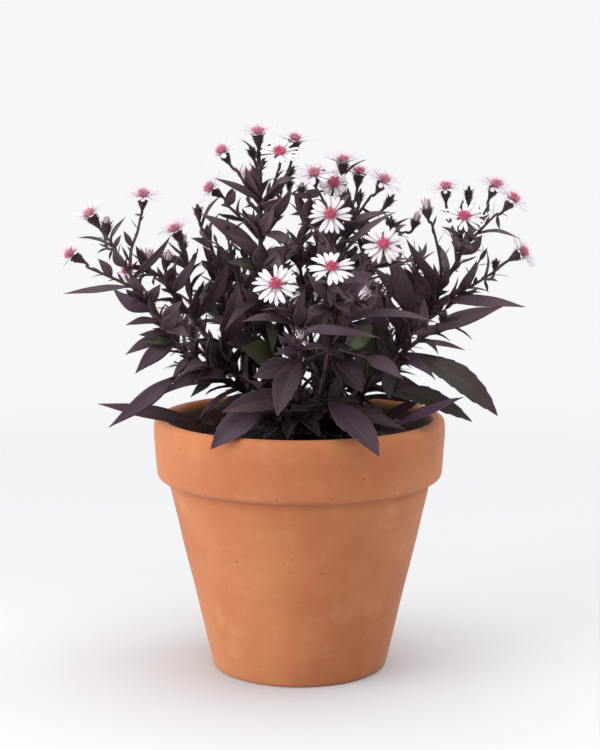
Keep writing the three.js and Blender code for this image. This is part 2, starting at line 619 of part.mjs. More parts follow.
// A leaf: a flat upper face between sharp edges, and a keel along the midrib below.
function blade(leaf, stations) {
  const rings = stations.map((t, k) => {
    const { point, side, normal } = leafFrame(leaf, t);
    if (t === 1) return [point];
    const tooth = leaf.width > TOOTHED_WIDTH && k % 2 === 1 && t > TEETH_FROM ? TOOTH : 0;
    const half = t === 0 ? ROOT_HALF : Math.max((leaf.width / 2) * leafShape(t) - tooth, LEAST_HALF);
    const edge = (sign) => {
      return point.clone().addScaledVector(side, sign * half).addScaledVector(normal, FOLD * half);
    };
    const depth = t === 0 ? ROOT_HALF : RIB_DEPTH;
    return [edge(-1), edge(1), point.clone().addScaledVector(normal, -depth)];
  });
  return loft(rings);
}

function stationsFor(leaf) {
  if (leaf.width > TOOTHED_WIDTH) return [0, 0.2, 0.4, 0.5, 0.6, 0.7, 0.8, 0.9, 1];
  if (leaf.shown) return [0, 0.25, 0.5, 0.78, 1];
  return leaf.tip.distanceTo(leaf.root) > 14 ? [0, 0.3, 0.65, 1] : [0, 0.45, 1];
}

// The point of a head at a height over its ray plane, a turn round its axis and a distance from it.
function headPoint(head, height, turn, radius) {
  const [u, v] = across(head.axis);
  return head.centre
    .clone()
    .addScaledVector(head.axis, height)
    .addScaledVector(u, radius * Math.cos(turn))
    .addScaledVector(v, radius * Math.sin(turn));
}

// The stations of the scaly cup under the rays, with the tips of its bracts standing off.
function cupStations(head) {
  return [
    { point: headPoint(head, -CUP_HEIGHT, 0, 0), radius: CUP_FOOT },
    { point: headPoint(head, -CUP_HEIGHT / 2, 0, 0), radius: CUP_RADIUS * 0.78, jag: CUP_SCALE },
    { point: headPoint(head, -GAP - RAY_HALF, 0, 0), radius: CUP_RADIUS },
  ];
}

// The stations of a closed head: a scaly cup below and, by its tuft's share, the folded rays above.
function budStations(head) {
  const top = head.size * head.tuft;
  const split = head.size - top;
  return [
    { point: headPoint(head, -split, 0, 0), radius: CUP_FOOT },
    { point: headPoint(head, -split * 0.45, 0, 0), radius: head.size * 0.25, jag: BUD_SCALE },
    { point: headPoint(head, top * 0.4, 0, 0), radius: head.size * 0.24, jag: BUD_SCALE * 0.6 },
    { point: headPoint(head, top, 0, 0), radius: 0 },
  ];
}

// The rays: a thin star with a notch between neighbours and a ridge on top of each ray.
function rays(head, crown = RAY_HALF, root = RAY_HALF) {
  const count = head.rays;
  const step = (2 * Math.PI) / count;
  const reach = head.span / 2;
  const lift = Math.tan(radians(head.lift));
  const at = (turn, radius, offset) => headPoint(head, radius * lift + offset, turn, radius);
  const points = [at(0, 0, crown), at(0, 0, -root)];
  const faces = [];
  for (let i = 0; i < count; i++) {
    const turn = i * step;
    const far = reach * (0.9 + 0.1 * draw(head.seed, i));
    const wide = RAY_HUB + (far - RAY_HUB) * 0.55;
    const half = RAY_WIDTH / 2 / wide;
    points.push(
      at(turn - step / 2, RAY_HUB, 0),
      at(turn - half, wide, 0),
      at(turn, far, 0),
      at(turn + half, wide, 0),
      at(turn, wide, RAY_RIDGE),
    );
    const [notch, left, tip, right, over] = [2, 3, 4, 5, 6].map((k) => k + i * 5);
    const nextNotch = 2 + ((i + 1) % count) * 5;
    faces.push([0, notch, over], [over, notch, left], [over, left, tip]);
    faces.push([0, over, nextNotch], [over, right, nextNotch], [over, tip, right]);
    faces.push([notch, tip, left], [notch, right, tip], [notch, nextNotch, right], [1, nextNotch, notch]);
  }
  return closedMesh(points, faces);
}

// The disc: florets stand up in two rings round a middle one.
function disc(head) {
  const lift = Math.tan(radians(head.lift));
  const floor = RAY_HALF + GAP;
  const edge = floor + DISC_SOLE * lift;
  const ring = (height, radius, floret) =>
    Array.from({ length: DISC_SIDES }, (_, i) => {
      const out = i % 2 ? 0 : floret;
      return headPoint(head, height + out, (i / DISC_SIDES) * 2 * Math.PI, radius + out * 0.4);
    });
  return loft([
    [headPoint(head, floor, 0, 0)],
    ring(edge, DISC_SOLE, 0),
    ring(edge + DISC_RISE * 0.45, DISC_RADIUS, FLORET),
    ring(edge + DISC_RISE * 0.8, DISC_RADIUS * 0.5, -FLORET * 0.7),
    [headPoint(head, edge + DISC_RISE, 0, 0)],
  ]);
}

// The stalk from a place on a shoot to the foot of a head, which it enters along the head's axis.
function stalkPoints(head, from = head.from) {
  const depth = head.size ? head.size * (1 - head.tuft) : CUP_HEIGHT;
  const end = headPoint(head, -depth - 0.5, 0, 0);
  const reach = from.distanceTo(end);
  const bend = end.clone().addScaledVector(head.axis, -0.5 * reach);
  return new THREE.QuadraticBezierCurve3(from, bend, end).getPoints(STALK_STEPS);
}

// Stalk and cup, or stalk and bud, as the stations of one limb.
function headStations(head, from) {
  const stalk = stalkPoints(head, from).slice(0, -1);
  return [
    ...stalk.map((point) => ({ point, radius: STALK_RADIUS })),
    ...(head.size ? budStations(head) : cupStations(head)),
  ];
}

function placed(entry, index) {
  return {
    ...entry,
    centre: vec(entry.at),
    axis: vec(entry.faces).normalize(),
    from: vec(entry.from),
    span: entry.span ?? HEAD_SPAN,
    rays: entry.fused ? FUSED_RAYS : 10 + Math.floor(2 * draw(7, index)),
    seed: 100 + index,
  };
}

// What already stands somewhere: small balls that later leaves stay clear of.
const taken = [];
const BALL_SPACING = 3; // along a shoot
const BALLS_OF_LEAF = [0.15, 0.3, 0.45, 0.6, 0.75, 0.9, 1]; // shares of its length
const BALLS_OF_RAY = [0.45, 0.65, 0.85, 1];

function take(name, point, radius) {
  taken.push({ name, point, radius });
}

function takeLeaf(name, leaf) {
  for (const ball of leafBalls(leaf)) take(name, ball.point, ball.radius);
}

function leafBalls(leaf) {
  const balls = [];
  for (const t of BALLS_OF_LEAF) {
    const { point, side } = leafFrame(leaf, t);
    const half = Math.max((leaf.width / 2) * leafShape(t), 0.4) / 2;
    balls.push({ point: point.clone().addScaledVector(side, half), radius: half + 0.35 });
    balls.push({ point: point.clone().addScaledVector(side, -half), radius: half + 0.35 });
  }
  return balls;
}

function takeHead(head, name) {
  take(name, head.centre, DISC_RADIUS + 0.5);
  take(name, headPoint(head, 1.5, 0, 0), DISC_RADIUS + 0.5);
  take(name, headPoint(head, -2.5, 0, 0), 3);
  const lift = Math.tan(radians(head.lift));
  for (let i = 0; i < head.rays; i++) {
    for (const share of BALLS_OF_RAY) {
      const radius = (head.span / 2) * share;
      take(name, headPoint(head, radius * lift, (i / head.rays) * 2 * Math.PI, radius), 1.2);
    }
  }
}

// Clear of the pot's rim and of the soil.
function clearOfPot({ point, radius }) {
  const out = Math.hypot(point.x, point.y);
  if (out < INNER_RIM_RADIUS && point.z - radius < SOIL_TOP + CRUST_ROOM) return false;
  const outside = out - radius > RIM_RADIUS + RIM_ROOM;
  const inside = out + radius < INNER_RIM_RADIUS - RIM_ROOM;
  return outside || inside || point.z - radius > POT_HEIGHT + RIM_ROOM;
}

// A leaf is clear when it keeps away from the other stems and from its own stem's other leaves.
function isClear(name, leaf) {
  return leafBalls(leaf).every((ball) => {
    if (!clearOfPot(ball)) return false;
    const fromRoot = ball.point.distanceTo(leaf.root);
    return taken.every((other) => {
      const own = other.name === name;
      if (own && fromRoot < NEAR_ROOT) return true;
      const room = ball.radius + other.radius + (own ? -OVERLAP : CLEAR);
      return ball.point.distanceToSquared(other.point) > room * room;
    });
  });
}

const openHeads = [...HEADS, ...FUSED_HEADS.map((entry) => ({ ...entry, fused: true }))];
const heads = openHeads.map(placed);
const buds = BUDS.map((entry, index) => placed(entry, FIRST_BUD + index));
const leaves = Object.entries(LEAVES).flatMap(([stem, entries]) =>
  entries.map((entry) => ({
    ...entry,
    stem,
    root: nearestOnStem(stem, vec(entry.root)),
    tip: vec(entry.tip),
    top: vec(entry.top),
    shown: true,
  })),
);

const TURN_OF_LEAF = radians(137.5); // from one leaf of a shoot to the next
const TRIES = 5; // places that a leaf may take before it is left out
const NEXT_TRY = radians(50); // further round
const SAG = 0.012; // how far a leaf's tip hangs, per length squared
const SLENDER = 0.17; // least width of a leaf, per length
const LEAST_WIDTH = 1.5;

// The leaves that follow the rule: they wind up each shoot and grow smaller towards its end.
function ruledLeaf(shoot, seed, index, share, attempt) {
  const line = lineOf(shoot.path);
  const root = line.getPoint(share);
  const ahead = line.getTangent(share);
  const [u, v] = across(ahead);
  const turn = index * TURN_OF_LEAF + seed + attempt * NEXT_TRY;
  const out = u.multiplyScalar(Math.cos(turn)).addScaledVector(v, Math.sin(turn));
  const length =
    THREE.MathUtils.lerp(shoot.leaves[0], shoot.leaves[1], share) *
    (0.8 + 0.35 * draw(seed, index)) *
    (1 - 0.1 * attempt);
  const rise = 0.35 + 0.4 * draw(seed + 1, index);
  const toward = out.clone().addScaledVector(ahead, rise).normalize();
  const tip = root.clone().addScaledVector(toward, length);
  tip.z -= SAG * length * length * (0.4 + draw(seed + 2, index));
  return {
    root,
    tip,
    top: ahead.clone().add(V(0, 0, 0.6)),
    width: Math.max(length * (SLENDER + 0.06 * draw(seed + 3, index)), LEAST_WIDTH),
    arch: length * 0.09,
  };
}

// Every solid that grows on one stem. A shoot whose end carries a head runs on into its stalk and cup.
function stemParts(name, stem) {
  const parts = [];
  const carried = new Set();
  const mine = [...heads, ...buds].filter((head) => head.stem === name);
  stem.shoots.forEach((shoot, k) => {
    const last = shoot.path.length - 1;
    const stations = shoot.path.map((p, i) => ({
      point: vec(p),
      radius: THREE.MathUtils.lerp(shoot.thick[0], shoot.thick[1], i / last),
    }));
    if (k === 0) {
      const [x, y] = stem.foot;
      stations.unshift({ point: V(x, y, STEM_FOOT_Z), radius: shoot.thick[0] });
    }
    const end = vec(shoot.path[last]);
    const head = mine.find((h) => !carried.has(h) && h.from.distanceTo(end) < SAME_PLACE);
    if (head) {
      carried.add(head);
      stations.push(...headStations(head, end).slice(1));
    }
    parts.push(limb(stations));
  });
  for (const head of mine) {
    if (!carried.has(head)) parts.push(limb(headStations(head)));
    if (head.fused) parts.push(rays(head, DISC_RISE, CUP_HEIGHT / 2));
  }
  for (const leaf of leaves.filter((l) => l.stem === name)) parts.push(blade(leaf, stationsFor(leaf)));
  return parts;
}

// Balls for everything that is set by hand, before any leaf is placed by the rule.
for (const [name, stem] of Object.entries(STEMS)) {
  for (const shoot of stem.shoots) {
    const line = lineOf(shoot.path);
    const steps = Math.ceil(line.getLength() / BALL_SPACING);
    for (const point of line.getSpacedPoints(steps)) take(name, point, shoot.thick[0] + 0.2);
  }
}
for (const leaf of leaves) takeLeaf(leaf.stem, leaf);
heads.forEach((head, index) => {
  takeHead(head, head.fused ? head.stem : "bloom " + index);
  for (const point of stalkPoints(head)) take(head.stem, point, 0.9);
});
for (const head of buds) {
  for (const height of [-4, -1.5, 1]) take(head.stem, headPoint(head, height, 0, 0), 2.4);
  for (const point of stalkPoints(head)) take(head.stem, point, 0.9);
}

// Then the leaves that follow the rule, stem by stem.
const ruled = Object.fromEntries(Object.keys(STEMS).map((name) => [name, []]));
Object.entries(STEMS).forEach(([name, stem], s) => {
  stem.shoots.forEach((shoot, k) => {
    if (!shoot.leaves) return;
    const length = lineOf(shoot.path).getLength();
    const count = Math.floor(length / shoot.leaves[2]);
    for (let i = 0; i < count; i++) {
      const share = (i + 0.6) / count;
      for (let attempt = 0; attempt < TRIES; attempt++) {
        const leaf = ruledLeaf(shoot, 10 * s + k, i, share, attempt);
        if (!isClear(name, leaf)) continue;
        takeLeaf(name, leaf);
        ruled[name].push(leaf);
        break;
      }
    }
  });
});

// The radius of the pot's inner wall at a height.
function innerRadius(z) {
  return INNER_RIM_RADIUS - WALL_SLOPE * (POT_HEIGHT - LIP_ROUNDING - z);
}

// A shape turned about the pot's axis from an outline of radii and heights.
function turned(outline) {
  const points = outline.map(([radius, z]) => new THREE.Vector2(radius, z));
  return new THREE.LatheGeometry(points, POT_SIDES).rotateX(Math.PI / 2);
}

// The pot's outline runs up the outside, over the rim and down the inside to the drain.
function pot() {
  const bandFoot = POT_HEIGHT - RIM_BAND;
  const outline = [
    [DRAIN_RADIUS, 0],
    [POT_FOOT_RADIUS - FOOT_ROUNDING, 0],
    [POT_FOOT_RADIUS, FOOT_ROUNDING],
    [BODY_TOP_RADIUS, bandFoot - BAND_ROUNDING * 0.3],
    [BAND_FOOT_RADIUS - BAND_ROUNDING * 0.55, bandFoot + BAND_ROUNDING * 0.15],
    [BAND_FOOT_RADIUS, bandFoot + BAND_ROUNDING],
    [RIM_RADIUS, POT_HEIGHT - RIM_ROUNDING],
    [RIM_RADIUS - RIM_ROUNDING * 0.22, POT_HEIGHT - RIM_ROUNDING * 0.32],
    [RIM_RADIUS - RIM_ROUNDING, POT_HEIGHT],
    [INNER_RIM_RADIUS + LIP_ROUNDING * 0.3, POT_HEIGHT - LIP_ROUNDING * 0.3],
    [INNER_RIM_RADIUS, POT_HEIGHT - LIP_ROUNDING],
    [innerRadius(POT_FLOOR), POT_FLOOR],
    [DRAIN_RADIUS, POT_FLOOR],
    [DRAIN_RADIUS, 0],
  ];
  return turned(outline);
}

// The soil fills the pot to its lumpy crust, with a plain hole for each stem.
function soil() {
  const floor = POT_FLOOR + GAP;
  const wallGap = GAP * 1.1;
  const body = turned([
    [0, floor],
    [innerRadius(floor) - wallGap, floor],
    [innerRadius(SOIL_TOP) - wallGap, SOIL_TOP - SOIL_CROWN],
    ...SOIL_RINGS.map((radius, k) => [radius, SOIL_TOP + (SOIL_CROWN * k) / (SOIL_RINGS.length - 1)]),
    [0, SOIL_TOP + SOIL_CROWN],
  ]);
  const place = body.getAttribute("position");
  for (let i = 0; i < place.count; i++) {
    const [x, y, z] = [place.getX(i), place.getY(i), place.getZ(i)];
    const out = Math.hypot(x, y);
    if (z < SOIL_TOP || out < 1) continue; // the foot, the wall's edge and the middle stay as turned
    place.setZ(i, z + SOIL_LUMP * Math.sin(x * 0.9 + y * 0.4) * Math.cos(y * 0.8 - x * 0.3));
  }
  const holes = Object.values(STEMS).map((stem) => {
    const radius = STEM_RADIUS + HOLE_CLEARANCE;
    const hole = new THREE.CylinderGeometry(radius, radius, HOLE_HEIGHT, HOLE_SIDES);
    hole.rotateX(Math.PI / 2);
    hole.translate(stem.foot[0], stem.foot[1], STEM_FOOT_Z - GAP + HOLE_HEIGHT / 2);
    return solidOf(hole);
  });
  return solidOf(body).subtract(wasm.Manifold.union(holes));
}

const finish = (color, roughness) => new THREE.MeshStandardMaterial({ color, roughness, metalness: 0 });

const plant = new THREE.Group();

function addPiece(name, geometry, material) {
  const mesh = new THREE.Mesh(geometry, material);
  mesh.name = name;
  plant.add(mesh);
}

addPiece("pot", geometryOf(solidOf(pot())), finish(0xcf8255, 0.85));
addPiece("soil", geometryOf(soil()), finish(0x2a211d, 0.95));
for (const [name, stem] of Object.entries(STEMS)) {
  const parts = stemParts(name, stem);
  for (const leaf of ruled[name]) parts.push(blade(leaf, stationsFor(leaf)));
  addPiece("stem_" + name, geometryOf(fuse(parts.map(solidOf))), finish(0x46343f, 0.6));
}
heads
  .filter((head) => !head.fused)
  .forEach((head, index) => {
    const name = "bloom_" + String(index + 1).padStart(2, "0");
    addPiece(name + "_rays", geometryOf(solidOf(rays(head))), finish(0xf4f0f5, 0.55));
    addPiece(name + "_disc", geometryOf(solidOf(disc(head))), finish(0xc9506e, 0.6));
  });

export default plant;
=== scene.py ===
import math
from collections import namedtuple

import bpy
from bpy.props import FloatProperty, FloatVectorProperty, IntProperty, PointerProperty
from mathutils import Matrix, Vector, noise
from mathutils.kdtree import KDTree


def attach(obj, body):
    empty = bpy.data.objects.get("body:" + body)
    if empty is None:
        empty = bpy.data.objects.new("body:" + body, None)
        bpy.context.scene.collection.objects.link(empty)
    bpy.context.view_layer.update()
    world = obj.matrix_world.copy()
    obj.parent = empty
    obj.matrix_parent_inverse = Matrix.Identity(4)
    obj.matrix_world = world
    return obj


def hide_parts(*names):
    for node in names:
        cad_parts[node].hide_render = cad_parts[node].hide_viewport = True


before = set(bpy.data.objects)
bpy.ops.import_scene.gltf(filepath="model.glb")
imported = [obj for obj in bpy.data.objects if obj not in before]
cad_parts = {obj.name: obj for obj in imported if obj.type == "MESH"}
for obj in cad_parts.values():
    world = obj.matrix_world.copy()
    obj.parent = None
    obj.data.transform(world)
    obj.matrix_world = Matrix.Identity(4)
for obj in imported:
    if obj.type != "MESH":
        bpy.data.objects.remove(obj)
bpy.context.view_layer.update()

# A calico aster with near-black purple leaves and small white daisies, in a terracotta pot.
# Lists of places are in millimetres, as in the part's own source; everything that is built is in metres.

bl_info = {
    "name": "Potted Calico Aster",
    "version": (1, 0, 0),
    "blender": (4, 5, 0),
    "location": "View3D > Sidebar > Aster",
    "description": "Builds a dark-leaved aster with white daisies in a terracotta pot",
    "category": "Add Mesh",
}

MM = 0.001

# A shoot: the points of its path, its radii at the foot and at the end, and for a leafy one the lengths of
# its leaves at the foot and at the end and their spacing
Shoot = namedtuple("Shoot", "path thick leaves", defaults=[()])

# The shoots of each stem. The first is the main one, which starts in the soil.
STEMS = {
    "left_low": [
        Shoot([(-8, -5, 97), (-12, -6, 107), (-20, -8, 115), (-34, -14, 124), (-47, -18, 135),
               (-54, -19, 144), (-60, -18, 152), (-66, -16, 160),
               (-68, -14, 166)], (1.5, 0.8), (26, 10, 12)),
        Shoot([(-68, -14, 165), (-72, -14, 171), (-75, -14, 177)], (0.7, 0.6)),
        Shoot([(-68, -14, 165), (-68, -8, 174), (-66, -1, 181), (-65, 3, 187)], (0.7, 0.5)),
        Shoot([(-65, -16, 159), (-75, -18, 164), (-84, -19, 168)], (0.7, 0.5)),
    ],
    "left_inner": [
        Shoot([(-9, 5, 97), (-16, 6, 110), (-28, 4, 123), (-39, 0, 139), (-44, -2, 146), (-49, -4, 153),
               (-53, -6, 158), (-56, -8, 164)], (1.5, 0.7), (26, 9, 12)),
        Shoot([(-44, -2, 146), (-45, 0, 157), (-46, 2, 167)], (0.8, 0.6), (12, 11, 10)),
        Shoot([(-15, 6, 109), (-22, 10, 128), (-28, 12, 148), (-34, 11, 165),
               (-38, 10, 179)], (1.2, 0.7), (26, 8, 12)),
    ],
    "crown_left": [
        Shoot([(-1, 3, 97), (-4, 3, 115), (-11, 4, 136), (-15, 4, 156), (-16, 4, 177), (-16, 6, 192),
               (-16, 8, 204)], (1.55, 0.7), (30, 7, 12)),
        Shoot([(-17, 5, 178), (-24, 6, 186), (-30, 6, 192)], (0.7, 0.6), (12, 11, 10)),
        Shoot([(-16, 6, 191), (-21, 4, 198), (-25, 2, 205)], (0.7, 0.5)),
        Shoot([(-16, 6, 192), (-11, 4, 199), (-9, 0, 205)], (0.7, 0.5)),
    ],
    "crown_right": [
        Shoot([(7, 8, 97), (10, 9, 115), (14, 10, 135), (17, 10, 160), (19, 10, 180),
               (20, 12, 193)], (1.55, 0.7), (30, 7, 12)),
        Shoot([(19, 10, 179), (12, 5, 189), (8, 0, 197)], (0.7, 0.5)),
        Shoot([(19, 10, 181), (25, 8, 189), (29, 6, 195)], (0.7, 0.5)),
        Shoot([(17, 10, 160), (27, 6, 171), (34, 0, 180)], (0.8, 0.6), (16, 11, 12)),
        Shoot([(28, 6, 172), (36, 9, 176), (43, 10, 180)], (0.6, 0.5)),
    ],
    "front": [
        Shoot([(5, -9, 97), (8, -15, 115), (12, -24, 136), (14, -29, 157),
               (13, -31, 173)], (1.5, 0.7), (28, 8, 12)),
        Shoot([(14, -28, 155), (23, -32, 167), (29, -36, 174)], (0.8, 0.6), (14, 11, 10)),
        Shoot([(13, -27, 149), (13, -38, 157), (12, -46, 164)], (0.7, 0.6), (14, 11, 10)),
        Shoot([(12, -24, 137), (18, -38, 147), (23, -48, 156)], (0.8, 0.6), (16, 11, 12)),
        Shoot([(6, -11, 104), (11, -26, 112), (12, -36, 117)], (1.1, 0.9), (22, 20, 12)),
    ],
    "front_low": [
        Shoot([(-2, -15, 97), (-1, -25, 112), (0, -35, 127), (0, -40, 141),
               (-3, -44, 153)], (1.4, 0.7), (24, 8, 12)),
        Shoot([(0, -38, 134), (0, -52, 141), (0, -61, 144)], (0.7, 0.6), (12, 11, 10)),
        Shoot([(-2, -18, 102), (-9, -26, 110), (-15, -31, 114)], (1.1, 0.9), (20, 18, 12)),
    ],
    "right_inner": [
        Shoot([(13, 2, 97), (20, 1, 110), (33, 0, 125), (47, -2, 141), (54, -3, 151), (59, -4, 161),
               (64, -4, 169), (66, -6, 177)], (1.55, 0.8), (28, 8, 12)),
        Shoot([(58, -4, 160), (57, -7, 169), (55, -9, 178), (53, -10, 185)], (0.7, 0.5)),
        Shoot([(64, -4, 168), (63, 2, 180), (61, 7, 189)], (0.7, 0.5)),
        Shoot([(65, -5, 173), (72, 1, 183), (77, 4, 191)], (0.7, 0.5)),
        Shoot([(66, -6, 175), (72, -6, 181), (79, -5, 188)], (0.6, 0.5)),
        Shoot([(49, -2, 144), (60, -7, 155), (70, -9, 160), (79, -10, 166)], (0.8, 0.5), (12, 11, 10)),
    ],
    "right_low": [
        Shoot([(14, -8, 97), (17, -11, 106), (24, -14, 115), (33, -18, 125), (41, -22, 134), (48, -24, 140),
               (57, -24, 146)], (1.4, 0.8), (28, 8, 12)),
        Shoot([(15, -9, 99), (24, -11, 101), (33, -14, 103)], (1, 0.8), (22, 18, 12)),
    ],
    "back_left": [
        Shoot([(-5, 14, 97), (-11, 19, 112), (-18, 26, 128), (-22, 34, 142),
               (-22, 39, 153)], (1.5, 0.7), (30, 12, 13)),
        Shoot([(-18, 26, 128), (-28, 33, 136), (-36, 39, 141)], (1, 0.6), (22, 11, 10)),
        Shoot([(-20, 30, 135), (-25, 44, 137), (-28, 54, 139)], (0.9, 0.6), (20, 11, 12)),
        Shoot([(-10, 18, 109), (-26, 30, 117), (-40, 40, 124), (-46, 44, 129)], (1.2, 0.6), (26, 11, 14)),
    ],
    "back_right": [
        Shoot([(6, 19, 97), (9, 25, 112), (13, 33, 130), (15, 40, 148), (15, 45, 166),
               (14, 49, 180)], (1.5, 0.7), (30, 12, 13)),
        Shoot([(13, 33, 131), (20, 39, 138), (27, 46, 145)], (1, 0.6), (24, 11, 10)),
        Shoot([(14, 36, 136), (9, 50, 139), (5, 61, 143)], (0.9, 0.6), (20, 11, 12)),
        Shoot([(9, 25, 112), (24, 36, 120), (39, 42, 127), (46, 43, 131)], (1.2, 0.6), (26, 11, 14)),
    ],
}

# Open heads: the stem, the middle, the direction they face, how far the rays lift in degrees, where the stalk
# leaves the shoot, and the span where it isn't the usual one
HEADS = [
    ("crown_left", (-17, 8, 220), (-0.05, -0.35, 1), 20, (-16, 8, 203)),
    ("crown_left", (-31, 0, 213), (-0.45, -0.35, 0.8), 4, (-25, 2, 204)),
    ("crown_left", (-8, -5, 213), (0, -0.6, 0.8), 4, (-9, 0, 204)),
    ("crown_left", (-2, 18, 217), (0.15, -0.2, 1), 14, (-12, 5, 198)),
    ("crown_right", (18, 22, 208), (0, -0.25, 1), 22, (20, 12, 192)),
    ("crown_right", (6, -2, 204), (-0.1, -0.5, 0.85), 4, (8, 0, 196)),
    ("crown_right", (25, 28, 203), (0.1, -0.3, 0.95), 20, (20, 12, 191), 14),
    ("crown_right", (34, 4, 201), (0.45, -0.45, 0.8), 10, (29, 6, 194)),
    ("front", (12, -35, 190), (-0.05, -0.93, 0.38), 2, (13, -31, 172)),
    ("front", (32, -44, 179), (0.05, -0.88, 0.47), 2, (29, -36, 173)),
    ("front", (12, -55, 171), (0.03, -0.62, 0.78), 0, (12, -46, 163), 18.5),
    ("front_low", (-9, -59, 165), (-0.05, -0.82, 0.57), 0, (-3, -44, 152), 17.6),
    ("crown_left", (-36, 6, 198), (-0.75, -0.35, 0.55), 8, (-30, 6, 191)),
    ("crown_left", (-21, 16, 202), (0.1, -0.3, 0.95), 20, (-16, 6, 190), 13),
    ("left_inner", (-50, -3, 181), (-0.4, -0.3, 0.85), 20, (-46, 2, 166), 15),
    ("left_low", (-64, 4, 195), (0.1, -0.3, 0.95), 6, (-65, 3, 186)),
    ("left_low", (-83, -14, 188), (-0.5, -0.35, 0.8), 22, (-75, -14, 176)),
    ("left_low", (-90, -20, 173), (-0.75, -0.35, 0.5), 12, (-84, -19, 168), 15.6),
    ("crown_right", (14, 14, 200), (0.1, -0.8, 0.35), 4, (19, 11, 187), 13),
    ("right_inner", (60, 8, 198), (-0.05, -0.3, 0.95), 8, (61, 7, 188)),
    ("right_inner", (65, -20, 188), (0.05, -0.62, 0.78), 2, (66, -6, 176), 17.6),
    ("right_inner", (80, 6, 199), (0.35, -0.4, 0.85), 8, (77, 4, 190)),
    ("right_inner", (86, -4, 194), (0.55, -0.35, 0.75), 6, (79, -5, 187), 15.4),
    ("right_inner", (89, -10, 173), (0.75, -0.35, 0.5), 12, (79, -10, 165), 15.6),
]

# Open heads that are grown into their stem's solid
FAR_HEADS = [
    ("left_low", (-71, 12, 164), (-0.4, -0.55, 0.6), 6, (-63, -17, 156), 13),
    ("back_left", (-20, 45, 162), (-0.1, 0.3, 0.95), 8, (-22, 39, 152)),
    ("back_left", (-42, 44, 150), (-0.4, 0.5, 0.75), 6, (-36, 39, 140)),
    ("back_left", (-30, 62, 146), (-0.1, 0.75, 0.6), 4, (-28, 54, 138)),
    ("back_left", (-52, 48, 137), (-0.55, 0.5, 0.6), 6, (-46, 44, 128)),
    ("back_right", (14, 55, 189), (0.05, 0.35, 0.9), 8, (14, 49, 179)),
    ("back_right", (31, 51, 153), (0.4, 0.45, 0.8), 6, (27, 46, 144)),
    ("back_right", (3, 69, 150), (-0.05, 0.75, 0.6), 2, (5, 61, 142)),
    ("back_right", (52, 46, 139), (0.6, 0.4, 0.65), 8, (46, 43, 130)),
]

# Buds: the stem, the middle, the direction they face, the size, the share that the folded rays take, and the
# start of the stalk
BUDS = [
    ("left_low", (-78, -6, 185), (0.1, -0.15, 1), 8.6, 0.3, (-74, -14, 175)),
    ("left_inner", (-61, -8, 171), (0.15, -0.1, 1), 7.5, 0.5, (-56, -8, 163)),
    ("left_inner", (-53, -12, 171), (0.2, -0.4, 0.9), 7, 0.5, (-54, -7, 160)),
    ("left_inner", (-48, 6, 176), (0, -0.1, 1), 7, 0.5, (-46, 2, 165)),
    ("left_inner", (-42, 10, 190), (-0.1, -0.1, 1), 6.4, 0.25, (-38, 10, 178)),
    ("front", (23.5, -57, 160.5), (0.4, -0.75, 0.6), 8.4, 0.56, (23, -48, 155)),
    ("front_low", (0, -71, 147.5), (0, -0.95, 0.3), 7.4, 0.5, (0, -61, 144)),
    ("right_inner", (51, -10, 191), (-0.15, -0.1, 1), 8, 0.5, (53, -10, 184)),
    ("crown_right", (48, 10, 185), (0.3, -0.15, 0.9), 7, 0.5, (43, 10, 179)),
    ("right_inner", (70, 13, 197), (0, -0.1, 1), 6.2, 0.15, (63, 2, 178)),
    ("crown_right", (1, 5, 199), (0.1, -0.1, 1), 6.2, 0.3, (12, 5, 188)),
    ("crown_right", (25, 14, 196), (0.1, -0.1, 1), 5.6, 0.15, (19, 11, 184)),
    ("crown_right", (38, 13, 194), (0.6, 0, 0.8), 6, 0.15, (26, 8, 190)),
    ("crown_right", (37, -5, 186), (0.1, -0.2, 1), 6.2, 0.2, (34, 0, 179)),
    ("crown_left", (-3, 8, 206), (0.5, -0.2, 0.8), 5.4, 0.2, (-11, 4, 199)),
    ("crown_left", (-20, 8, 214), (-0.3, -0.3, 0.9), 5, 0.15, (-16, 8, 202)),
    ("right_low", (57, -26, 150), (0.1, -0.4, 0.9), 5.4, 0.15, (56, -24, 145)),
    ("right_low", (62, -24, 147), (0.7, -0.2, 0.6), 5, 0.15, (56, -24, 145)),
    ("back_left", (-33, 46, 149), (0.1, 0.5, 0.8), 6, 0.3, (-32, 37, 138)),
    ("back_right", (22, 49, 153), (-0.2, 0.4, 0.9), 6, 0.4, (24, 43, 142)),
]

